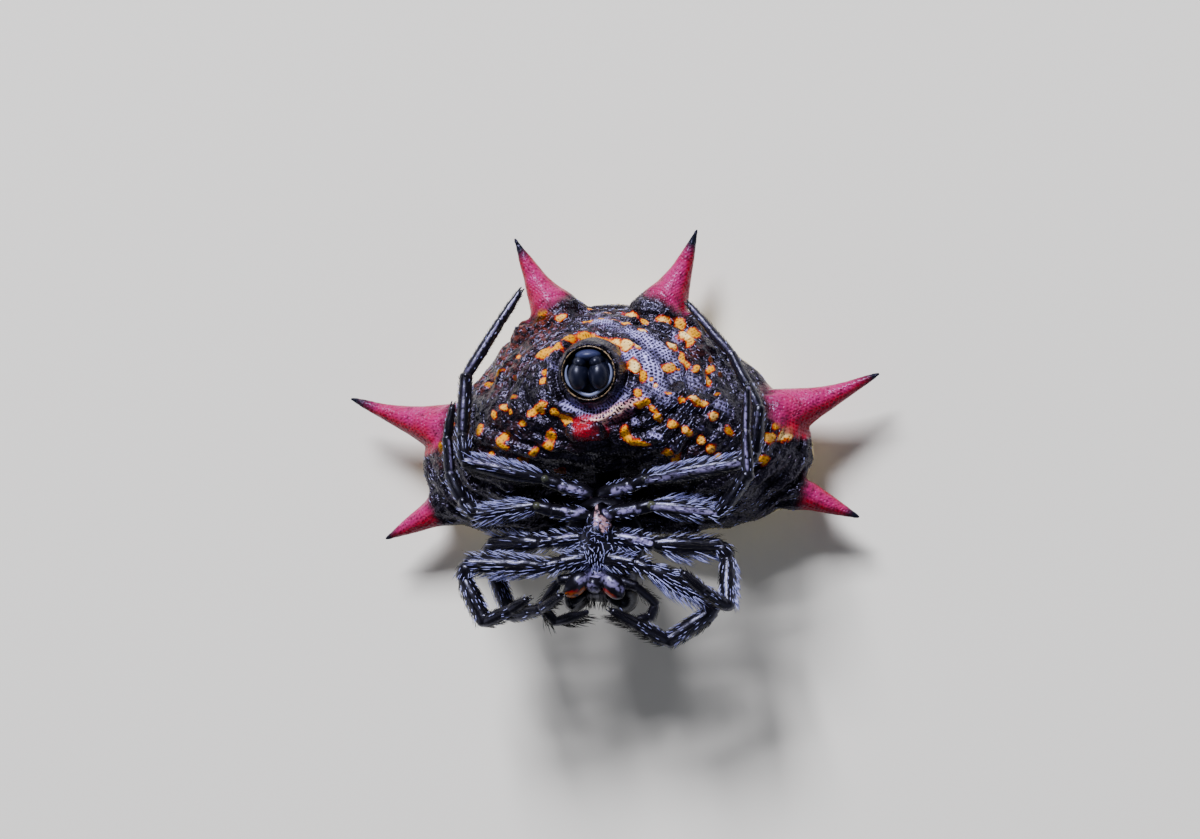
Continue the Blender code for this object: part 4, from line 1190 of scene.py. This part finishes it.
class SPIDER_OT_limbs(bpy.types.Operator):
    """Carapace, sternum, palps and eight legs as one jointed skin"""
    bl_idname = "spider.limbs"
    bl_label = "Head end and legs"

    def execute(self, context):
        limbs = context.scene.spider_limbs
        turn = head_turn()
        body = ball("carapace", *CARAPACE, 72, 44, flat_bellied, turn)
        forms = [
            ball("head", *HEAD, 72, 44, squared, turn),
            ball("sternum", *STERNUM, 72, 44, shield_plate, turn),
            ball("labium", *LABIUM, 32, 22, None, turn),
            tube("waist", WAIST, (WAIST_RADIUS, WAIST_RADIUS), 6),
        ]
        for side in (-1, 1):
            (x, y, z), semi = ENDITE
            endite = ball("endite", (0.0, 0.0, 0.0), semi, 40, 26)
            splay = Matrix.Translation((side * x, y, z)) @ Matrix.Rotation(side * ENDITE_SPLAY, 4, "Z")
            endite.data.transform(turn @ splay)
            forms.append(endite)
        for name in LIMB_NAMES:
            parts = limb_parts(name)
            for index, (kind, start, end, radii) in enumerate(parts):
                forms.append(make_part(f"{name}_{kind}", start, end, radii, index == 0,
                                       index == len(parts) - 1))
        for centre, radius, _ in knob_places():
            forms.append(ball("knob", centre, (radius,) * 3, 28, 18))
        unite(body, forms)
        rows, normals = points_of(body), normals_of(body)
        rows = rows + normals * (0.006 * ripple(rows, 0.25, 21))[:, None]
        set_points(body, rows)
        places = picture_place(rows)
        joint = np.zeros(len(rows))
        for name in LIMB_NAMES:
            for kind, start, end, radii in limb_parts(name):
                near = np.exp(-(np.linalg.norm(rows - start, axis=1) / (radii[0] * 1.05)) ** 4)
                joint = np.maximum(joint, near * 0.2)
        for centre, radius, horny in knob_places():
            near = ease(radius * 1.35, radius * 0.95, np.linalg.norm(rows - centre, axis=1))
            joint = np.maximum(joint, near * horny)
        keep_value(body, "joint", joint)
        toward = normals @ picture_axes()[2]
        # Painted sheen where the rear legs' outer segments face the viewer, stored with the pale marks
        sheen = band_field(places, SHEEN_MARKS) * ease(0.3, 0.7, toward) * ease(2.2, 2.4, rows[:, 2])
        keep_value(body, "pale", np.maximum(marks_field(rows, places, PALE_AND_SHEEN_MARKS), sheen))
        keep_value(body, "blaze", marks_field(rows, places, BLAZE_MARKS))
        keep_value(body, "amber", marks_field(rows, places, AMBER_MARKS))
        keep_value(body, "red", marks_field(rows, places, RED_MARKS))
        nodes = ["cephalothorax"] + list(LIMB_NAMES)
        hand_over(body, "limb_skin", limb_cuticle(limbs), nodes)
        return {"FINISHED"}


# Jaws, eyes, claws and spinnerets


class SPIDER_OT_jaws(bpy.types.Operator):
    """Two stout chelicerae with the fang folded across the end"""
    bl_idname = "spider.jaws"
    bl_label = "Chelicerae"

    def execute(self, context):
        turn = head_turn()
        material = glossy_sclerite("jaw_cuticle", "#060609", 0.16)
        (x, y, z), semi = CHELICERA
        for side, label in ((-1, "left"), (1, "right")):
            jaw = ball("jaw", (side * x, y, z), semi, 64, 48, stout, turn)
            end = np.array((side * (x - 0.02), y - 0.12, z + semi[2] * 0.88))
            knots = [end, end + (side * -0.16, 0.06, 0.04), end + (side * -0.28, 0.16, 0.0),
                     end + (side * -0.36, 0.26, -0.07)]
            line = along_curve([(*p, r) for p, r in zip(knots, (0.13, 0.1, 0.07, 0.015))], 20)
            fang = tube("fang", line[:, :3], line[:, 3], 5)
            fang.data.transform(turn)
            unite(jaw, [fang])
            hand_over(jaw, f"jaw_{label}", material, [f"chelicera_{label}"])
        return {"FINISHED"}


class SPIDER_OT_eyes(bpy.types.Operator):
    """Eight smooth eyes in their places"""
    bl_idname = "spider.eyes"
    bl_label = "Eyes"

    def execute(self, context):
        material = eye_lens()
        for place in ("front_middle", "rear_middle", "front_side", "rear_side"):
            for label in ("left", "right"):
                node = f"eye_{place}_{label}"
                low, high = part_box(node)
                centre = (low + high) * 0.5 * MM
                radius = (high.z - low.z) * 0.5 * MM
                eye = ball(node, centre, (radius,) * 3, 32, 20)
                hand_over(eye, f"lens_{place}_{label}", material, [node])
        return {"FINISHED"}


class SPIDER_OT_claws(bpy.types.Operator):
    """Three hooked claws at each leg tip"""
    bl_idname = "spider.claws"
    bl_label = "Claws"

    def execute(self, context):
        hooks = []
        for name in LIMB_NAMES:
            if name.startswith("palp"):
                continue
            _, start, end, radii = limb_parts(name)[-1]
            way = (end - start) / np.linalg.norm(end - start)
            side = np.cross(way, (0.0, 0.0, 1.0))
            side /= np.linalg.norm(side)
            down = np.cross(side, way)
            for offset, reach in ((-0.04, 0.2), (0.04, 0.2), (0.0, 0.14)):
                root = end + side * offset - way * 0.05
                knots = [root, root + way * reach * 0.6 + down * 0.02, root + way * reach - down * 0.03,
                         root + way * reach * 1.1 - down * 0.1]
                line = along_curve([(*p, r) for p, r in zip(knots, (0.03, 0.025, 0.016, 0.005))], 10)
                hooks.append(tube("hook", line[:, :3], line[:, 3], 2))
        claws = join(hooks)
        hand_over(claws, "claws", glossy_sclerite("claw_cuticle", "#060609", 0.16))
        return {"FINISHED"}


class SPIDER_OT_spinnerets(bpy.types.Operator):
    """Spinneret cluster in its cup, with the thin pale ring round it"""
    bl_idname = "spider.spinnerets"
    bl_label = "Spinnerets"

    def execute(self, context):
        base = TURRET_TOP - CUP_DEPTH
        base_skin = ball("base_skin", (0.0, SUMMIT_Y, base), (0.63, 0.63, 0.14), 64, 24)
        # Painted reflection: the blue of the cup's skin stands for bluish reflections on black cuticle
        hand_over(base_skin, "spinneret_base", glossy_sclerite("cup_skin", "#171b33", 0.25))
        # Painted reflection: a pale blue-grey fold hugging the lobes' lower edge, where their rims reflect the
        # light
        turns = np.linspace(-1.15 * pi, 0.15 * pi, 48)
        fold = [(0.555 * cos(a), SUMMIT_Y - 0.01 + (0.49 + 0.03 * cos(4.0 * a)) * sin(a), base + 0.28)
                for a in turns]
        widths = 0.01 + 0.036 * np.sin(np.linspace(0.0, pi, 48)) ** 0.5
        roll = tube("roll", fold, widths, 5)
        hand_over(roll, "crescent_highlight_fold", glossy_sclerite("painted_crescent_highlight", "#6d769c", 0.2))
        lobes = []
        for side in (-1, 1):
            for (x, y), semi, height in (
                    ((0.25, -0.06), (0.265, 0.36, 0.34), 0.22), ((0.2, 0.26), (0.19, 0.18, 0.3), 0.2)):
                lobes.append(ball("lobe", (side * x, SUMMIT_Y + y, base + height), semi, 64, 40))
        cluster = lobes.pop()
        unite(cluster, lobes)
        # The lobes' blue-black is partly painted reflection
        material = glossy_sclerite("spinneret_cuticle", "#0e1124", 0.24)
        hand_over(cluster, "spinneret_lobes", material, ["spinnerets"])
        anal = ball("anal", (0.0, SUMMIT_Y + 0.42, base + 0.2), (0.32, 0.15, 0.27), 48, 30)
        # The anal lobe's blue is partly painted reflection
        hand_over(anal, "anal_lobe", glossy_sclerite("anal_cuticle", "#272d52", 0.3))
        rim = (
            (CUP_RADIUS - 0.02, TURRET_TOP - 0.1), (CUP_RADIUS - 0.011, TURRET_TOP - 0.012),
            (CUP_RADIUS, TURRET_TOP), (CUP_RADIUS + 0.011, TURRET_TOP - 0.01),
            (CUP_RADIUS + 0.02, TURRET_TOP - 0.1), (CUP_RADIUS - 0.02, TURRET_TOP - 0.1))
        ring = turned_ring(rim, 128)
        hand_over(ring, "cup_rim", rim_cuticle())
        return {"FINISHED"}


# Setae and granules


def bristles(name, roots, ways, lengths, widths, bends, patches, levels=3):
    """Many thin three-sided hairs in one mesh, each with its own patch of the OFBake map."""
    count = len(roots)
    ways = ways / np.linalg.norm(ways, axis=1)[:, None]
    side = np.cross(ways, np.array((0.31, 0.52, 0.8)))
    side /= np.linalg.norm(side, axis=1)[:, None]
    other = np.cross(ways, side)
    rows, spots = [], []
    for level in range(levels):
        t = level / levels
        centre = roots + ways * (lengths * t)[:, None] + bends * (lengths * t * t)[:, None]
        width = widths * (0.75 + 1.2 * t - 1.7 * t * t)
        for corner in range(3):
            a = 2.0 * pi * corner / 3.0
            rows.append(centre + (side * cos(a) + other * sin(a)) * width[:, None])
            spots.append((corner / 3.0 - 0.33, t - 0.5))
    rows.append(roots + ways * lengths[:, None] + bends * lengths[:, None])
    spots.append((0.0, 0.5))
    per = levels * 3 + 1
    points = np.stack(rows, axis=1).reshape(-1, 3)
    pattern = [(0, 2, 1)]
    for level in range(levels - 1):
        for corner in range(3):
            a, b = level * 3 + corner, level * 3 + (corner + 1) % 3
            pattern.append((a, b, b + 3, a + 3))
    top = (levels - 1) * 3
    pattern += [(top + c, top + (c + 1) % 3, per - 1) for c in range(3)]
    faces = [tuple(i * per + v for v in face) for i in range(count) for face in pattern]
    obj = plain_mesh(name, points, faces)
    corners = np.empty(len(obj.data.loops), int)
    obj.data.loops.foreach_get("vertex_index", corners)
    offset = np.array(spots)[corners % per] * 0.003
    where = np.asarray(patches)[corners // per] + offset
    layer = obj.data.uv_layers.new(name="OFBake")
    layer.data.foreach_set("uv", where.astype(np.float32).ravel())
    return obj


def limb_setae(coat, chance):
    """Rows of setae on every limb, pale and dark apart. They lie towards the tip, and those at
    the edges, seen from the front, stand out like the barbs of a feather."""
    pale, dark = [], []
    toward = picture_axes()[2]
    knobs = [(centre, radius) for centre, radius, _ in knob_places()]
    for number, name in enumerate(LIMB_NAMES):
        parts = limb_parts(name)
        for index, (kind, start, end, radii) in enumerate(parts):
            share, long, apart, lift = SETAE[kind]
            if name.startswith("palp"):
                share, long = 0.05, long * 0.8
            if kind == "femur":
                share = DIM_FEMORA.get(name, share)
            if index < 2 and name[:5] in ("leg_1", "leg_2"):
                share, long, apart, lift = SHAGGY
            if name in SLEEK and kind in ("tibia", "metatarsus", "tarsus"):
                share, long = share * 0.5, long * 0.7
            length = np.linalg.norm(end - start)
            way = (end - start) / length
            up = toward - way * (toward @ way)
            up /= np.linalg.norm(up)
            side = np.cross(way, up)
            rows = max(2, int(length / (coat.row * MM * apart)))
            spots = max(8, int(2.0 * pi * radii[1] / (coat.spacing * MM * apart ** 0.5)))
            row, spot = (grid.ravel() for grid in np.meshgrid(np.arange(rows), np.arange(spots)))
            count = rows * spots
            t = (row + 0.5 * (spot % 2) + chance.uniform(0.1, 0.6, count)) / (rows + 0.2)
            angle = 2.0 * pi * (spot + chance.uniform(-0.25, 0.25, count)) / spots - pi
            front, edge = np.cos(angle), np.sin(angle)
            out = up * front[:, None] + side * edge[:, None]
            root = start + way * (length * t)[:, None] + out * (part_radius(t, radii) * 0.95)[:, None]
            free = np.array([min(np.linalg.norm(r - c) - size for c, size in knobs) for r in root]) > 0.03
            bare = band_field(picture_place(root), PALE_AND_SHEEN_MARKS) * ease(2.8, 3.0, root[:, 2])
            free &= (t < 0.95) | (kind == "tarsus")
            free &= chance.uniform(0.2, 1.6, count) > bare * ease(-0.2, 0.5, front)
            fan = lift + SETA_FAN * np.abs(edge) ** 0.7
            lie = way + up * (lift * front)[:, None] + side * (fan * edge)[:, None]
            lie = lie + chance.normal(0.0, 0.05, (count, 3))
            size = coat.length * MM * long * (0.8 + 0.4 * np.abs(edge)) * chance.uniform(0.8, 1.15, count)
            light = (front > -0.3) & (chance.uniform(size=count) < share)
            if name in BARE_BELOW and kind == "femur":
                light &= out[:, 1] > chance.normal(0.0, 0.15, count) - 0.1
            bend = way * 0.2 - out * 0.22
            for i in np.flatnonzero(free):
                patch = ((number + 0.1 + 0.8 * (angle[i] / (2.0 * pi) + 0.5)) / len(LIMB_NAMES),
                         0.02 + 0.96 * (index + t[i]) / len(parts))
                width = coat.thickness * MM * 0.5 * (1.0 if light[i] else 0.6)
                (pale if light[i] else dark).append((root[i], lie[i], size[i], width, bend[i], patch))
    return pale, dark


def fringe_setae(chance):
    """Long setae along one side of a segment."""
    right, up, toward = picture_axes()
    pale, dark = [], []
    for name, kind, light, count, length, turn in FRINGES:
        number = LIMB_NAMES.index(name)
        parts = limb_parts(name)
        index = [part[0] for part in parts].index(kind)
        _, start, end, radii = parts[index]
        way = (end - start) / np.linalg.norm(end - start)
        for _ in range(count):
            angle = radians(turn + chance.normal(0.0, 14.0))
            out = right * cos(angle) + up * sin(angle) + toward * chance.normal(0.0, 0.35)
            out = out - way * (out @ way)
            out /= np.linalg.norm(out)
            t = chance.uniform(0.08, 0.95)
            root = start + (end - start) * t + out * part_radius(np.array([t]), radii)[0] * 0.93
            lie = out * chance.uniform(0.45, 0.9) + way * chance.uniform(0.6, 1.0)
            size = length * chance.uniform(0.6, 1.1)
            patch = ((number + 0.5) / len(LIMB_NAMES), 0.02 + 0.96 * (index + t) / len(parts))
            row = (root, lie, size, 0.009, way * 0.25 - out * 0.12, patch)
            (pale if light else dark).append(row)
    return pale, dark


def plate_setae(chance):
    """Short curled pale setae on the sternum, which run together towards the mouth."""
    rows = []
    turn = head_turn()
    (x, y, z), (wide, long, deep) = STERNUM
    count = 120
    for i in range(count):
        ring = ((i + 0.5) / count) ** 0.5
        around = i * radians(137.5) + chance.uniform(-0.12, 0.12)
        a, b = 0.96 * ring * cos(around), 0.74 * ring * sin(around) - 0.16
        if a * a + b * b > 0.94:
            continue
        broad = 1.0 - 0.55 * float(ease(-0.3, 1.0, b)) - 0.2 * float(ease(0.3, 1.0, -b))
        height = deep * (1.0 - a * a - b * b) ** 0.5
        root = np.array(turn @ Vector((x + a * broad * wide, y + b * long, z + height)))
        near_mouth = float(ease(0.1, -0.6, b))
        angle = chance.uniform(0.0, 2.0 * pi)
        loose = np.array((cos(angle), sin(angle), 0.35)) * (1.0 - near_mouth)
        lie = np.array((-a * 0.35, -0.9, 0.4)) * (0.2 + 0.8 * near_mouth) + loose
        bend = np.array((-a * 0.3, -0.15, -0.2)) * near_mouth + np.cross(loose, (0.0, 0.0, 0.8))
        patch = (0.5 + a * 0.02, 0.01)
        rows.append((root, lie, chance.uniform(0.09, 0.16), 0.0095, bend, patch))
    return rows


def face_setae(chance):
    """Black bristles on the face, over the root of the jaws."""
    rows = []
    turn = head_turn()
    (x, y, z), semi = HEAD
    for _ in range(260):
        a, b = chance.uniform(-0.75, 0.75), chance.uniform(-0.1, 0.95)
        if a * a + b * b > 0.95:
            continue
        unit = squared(np.array((a, -(1.0 - a * a - b * b) ** 0.5, b)))
        root = np.array(turn @ Vector(unit * np.array(semi) + np.array((x, y, z))))
        lie = np.array((a * 0.6, -1.0, 0.9)) + chance.normal(0.0, 0.25, 3)
        rows.append((root, lie, chance.uniform(0.16, 0.3), 0.009, np.array((0.0, -0.1, -0.2)),
                     (0.5 + 0.02 * a, 0.03 + 0.02 * b)))
    return rows


def make_coat(rows, name, material):
    roots, ways, lengths, widths, bends, patches = zip(*rows)
    obj = bristles(name, np.array(roots), np.array(ways), np.array(lengths), np.array(widths),
                   np.array(bends), patches)
    hand_over(obj, name, material)


class SPIDER_OT_setae(bpy.types.Operator):
    """Pale and black setae of the head end and legs"""
    bl_idname = "spider.setae"
    bl_label = "Setae of the limbs"

    def execute(self, context):
        coat = context.scene.spider_coat
        chance = np.random.default_rng(12)
        pale, dark = limb_setae(coat, chance)
        more_pale, more_dark = fringe_setae(chance)
        pale += more_pale + plate_setae(chance)
        dark += more_dark + face_setae(chance)
        make_coat(pale, "pale_setae",
                  seta_material("pale_setae", coat.pale, "#7f82cc", 0.36))
        make_coat(dark, "dark_setae",
                  seta_material("dark_setae", coat.dark, "#100e18", 0.3))
        return {"FINISHED"}


class SPIDER_OT_belly_grain(bpy.types.Operator):
    """Granules and short spicules scattered over the belly; the spicules are pale, painted glints, thickest
    round the lit patch.
    """
    bl_idname = "spider.belly_grain"
    bl_label = "Granules of the belly"

    def execute(self, context):
        coat = context.scene.spider_coat
        skin = bpy.data.objects["shield_skin"]
        chance = np.random.default_rng(5)
        rows, normals = points_of(skin) * MM, normals_of(skin)
        depth, spine = read_points(skin, "spot_depth"), read_points(skin, "spine")
        from_axis = np.hypot(rows[:, 0], rows[:, 1] - SUMMIT_Y)
        places = picture_place(rows)
        hollow = capsule_share(places, (560, 456), (628, 456), 17.0) > 0.0
        bare = hollow | (depth > 0.0) | (spine > 0.1)
        fit = (normals[:, 2] > 0.1) & ~bare & (from_axis > 1.0)
        chosen = spread_out(rows, np.flatnonzero(fit), 0.13, chance)
        size = chance.uniform(0.011, 0.019, len(chosen))
        pebbles = granules("granules", rows[chosen], normals[chosen], size)
        hand_over(pebbles, "granules", granule_cuticle())
        low = (normals[:, 2] > 0.0) & ~bare & (from_axis > 1.05)
        chosen = in_rows(rows, np.flatnonzero(low), 0.11)
        # Painted glints: more spicules round the lit patch right of the tubercle
        gap = (places[chosen] - (660.0, 418.0)) / (72.0, 36.0)
        near = np.exp(-(gap ** 2).sum(axis=1))
        chosen = chosen[chance.uniform(size=len(chosen)) < 0.2 + 0.75 * near]
        count = len(chosen)
        step = 0.01
        slope = np.stack([(belly_flow(rows[chosen] + move) - belly_flow(rows[chosen])) / step
                          for move in np.eye(3) * step], axis=1)
        lie = np.cross(slope, normals[chosen]) + normals[chosen] * 0.08
        lie = lie + chance.normal(0.0, 0.06, (count, 3))
        lengths = chance.uniform(0.07, 0.11, count)
        angle = np.arctan2(rows[chosen, 1], rows[chosen, 0]) / (2.0 * pi) + 0.5
        patches = np.stack((angle, 0.05 + 0.13 * from_axis[chosen]), axis=1)
        obj = bristles("spicules", rows[chosen], lie, lengths, np.full(count, 0.009), lie * 0.0,
                       patches, 3)
        # The spicules' pale colour paints glints
        hand_over(obj, "spicules", seta_material("spicules", coat.pale, "#8a6f90", 0.3))
        return {"FINISHED"}


def read_points(obj, name):
    values = np.empty(len(obj.data.vertices), np.float32)
    obj.data.attributes[name].data.foreach_get("value", values)
    return values


def spread_out(rows, indices, pitch, chance):
    """One point from each cell of a grid, so that the chosen ones keep their distance."""
    indices = chance.permutation(indices)
    cells = np.floor(rows[indices] / pitch).astype(int)
    _, first = np.unique(cells, axis=0, return_index=True)
    return indices[first]


def in_rows(rows, indices, pitch):
    """Points in staggered rows along the folds, one for each place."""
    spots = rows[indices]
    down = belly_flow(spots)
    row = np.floor(down / pitch)
    around = np.arctan2(spots[:, 1] - SUMMIT_Y, spots[:, 0] / FLOW_STRETCH) / (2.0 * pi)
    place = around * np.round(2.6 * pi * (row + 1.0)) + 0.5 * (row % 2)
    off = np.hypot(down / pitch - row - 0.5, place - np.floor(place) - 0.5)
    order = np.argsort(off)
    _, first = np.unique(np.stack((row, np.floor(place)), axis=1)[order], axis=0, return_index=True)
    return indices[order[first]]


def granules(name, roots, normals, sizes, sides=6):
    """Low rounded beads, each of two rings and a top."""
    side = np.cross(normals, np.array((0.31, 0.52, 0.8)))
    side /= np.linalg.norm(side, axis=1)[:, None]
    other = np.cross(normals, side)
    rows = []
    for width, rise in ((1.0, -0.2), (0.75, 0.5)):
        for corner in range(sides):
            a = 2.0 * pi * corner / sides
            ring = (side * cos(a) + other * sin(a)) * width + normals * rise
            rows.append(roots + ring * sizes[:, None])
    rows.append(roots + normals * (sizes * 0.8)[:, None])
    per = 2 * sides + 1
    points = np.stack(rows, axis=1).reshape(-1, 3)
    pattern = [tuple(range(sides - 1, -1, -1))]
    for c in range(sides):
        d = (c + 1) % sides
        pattern.append((c, d, sides + d, sides + c))
        pattern.append((sides + c, sides + d, per - 1))
    faces = [tuple(i * per + v for v in face) for i in range(len(roots)) for face in pattern]
    return plain_mesh(name, points, faces)


# Stage


class SPIDER_OT_stage(bpy.types.Operator):
    """Pale floor, soft lights and the picture's camera"""
    bl_idname = "spider.stage"
    bl_label = "Stage"

    def execute(self, context):
        look = context.scene.spider_stage
        deselect()
        bpy.ops.mesh.primitive_plane_add(size=4.0, location=(0.0, 0.0, 0.0))
        floor = context.object
        floor.name = "floor"
        material = new_material("floor_paint", {"Base Color": (*look.floor, 1.0), "Roughness": 0.75})[0]
        floor.data.materials.append(material)
        for name, place, size, power, tint in (
                ("key", (-0.05, 0.25, 0.22), 0.1, look.key_power, (1.0, 0.98, 1.0)),
                ("fill", (0.2, -0.22, 0.2), 0.3, look.fill_power, (0.92, 0.93, 1.0)),
                ("side", (-0.3, -0.05, 0.1), 0.2, look.fill_power, (0.95, 0.93, 1.0))):
            lamp = bpy.data.lights.new(name, "AREA")
            lamp.size = size
            lamp.energy = power
            lamp.color = tint
            obj = bpy.data.objects.new(name, lamp)
            obj.location = place
            obj.rotation_euler = (Vector((0.0, 0.0, 0.002)) - Vector(place)).to_track_quat("-Z", "Y").to_euler()
            context.scene.collection.objects.link(obj)
        world = bpy.data.worlds.new("studio")
        world.use_nodes = True
        world.node_tree.nodes["Background"].inputs["Color"].default_value = (0.8, 0.82, 0.86, 1.0)
        world.node_tree.nodes["Background"].inputs["Strength"].default_value = 0.1
        context.scene.world = world
        place_camera(context.scene)
        return {"FINISHED"}


def place_camera(scene):
    """The camera looks along the picture's line of sight from half a metre."""
    away = 0.5
    across, up, toward = (Vector(way) for way in picture_axes())
    pixel = PIXEL / MM
    centre = across * (IMAGE_SIZE[0] / 2.0 - ORIGIN_PX[0]) * pixel
    centre += up * (ORIGIN_PX[1] - IMAGE_SIZE[1] / 2.0) * pixel
    data = bpy.data.cameras.new("camera")
    data.sensor_width = 36.0
    data.lens = data.sensor_width * (away - 0.0025) / (IMAGE_SIZE[0] * pixel)
    data.clip_start = 0.01
    data.clip_end = 10.0
    camera = bpy.data.objects.new("camera", data)
    scene.collection.objects.link(camera)
    place = centre + toward * away
    rows = Matrix((across, up, toward)).transposed().to_4x4()
    camera.matrix_world = Matrix.Translation(place) @ rows
    scene.camera = camera


class SPIDER_PT_panel(bpy.types.Panel):
    """Sizes, colours and building steps of the spider"""
    bl_idname = "SPIDER_PT_panel"
    bl_label = "Spiny orb weaver"
    bl_space_type = "VIEW_3D"
    bl_region_type = "UI"
    bl_category = "Spider"

    def draw(self, context):
        column = self.layout.column()
        for step in STEPS:
            column.operator(step)
        for group in (context.scene.spider_shield, context.scene.spider_limbs,
                      context.scene.spider_coat, context.scene.spider_stage):
            for key in group.bl_rna.properties.keys():
                if key not in ("rna_type", "name"):
                    column.prop(group, key)


GROUPS = {
    "spider_shield": SpiderShield,
    "spider_limbs": SpiderLimbs,
    "spider_coat": SpiderCoat,
    "spider_stage": SpiderStage,
}
OPERATORS = (SPIDER_OT_shield, SPIDER_OT_limbs, SPIDER_OT_jaws, SPIDER_OT_eyes, SPIDER_OT_claws,
             SPIDER_OT_spinnerets, SPIDER_OT_setae, SPIDER_OT_belly_grain, SPIDER_OT_stage)
STEPS = tuple(operator.bl_idname for operator in OPERATORS)


def register():
    for kind in (*GROUPS.values(), *OPERATORS, SPIDER_PT_panel):
        bpy.utils.register_class(kind)
    for name, kind in GROUPS.items():
        setattr(bpy.types.Scene, name, bpy.props.PointerProperty(type=kind))


def unregister():
    for name in GROUPS:
        delattr(bpy.types.Scene, name)
    for kind in reversed((*GROUPS.values(), *OPERATORS, SPIDER_PT_panel)):
        bpy.utils.unregister_class(kind)


def main():
    register()
    for step in STEPS:
        group, name = step.split(".")
        getattr(getattr(bpy.ops, group), name)()


if __name__ == "__main__":
    main()
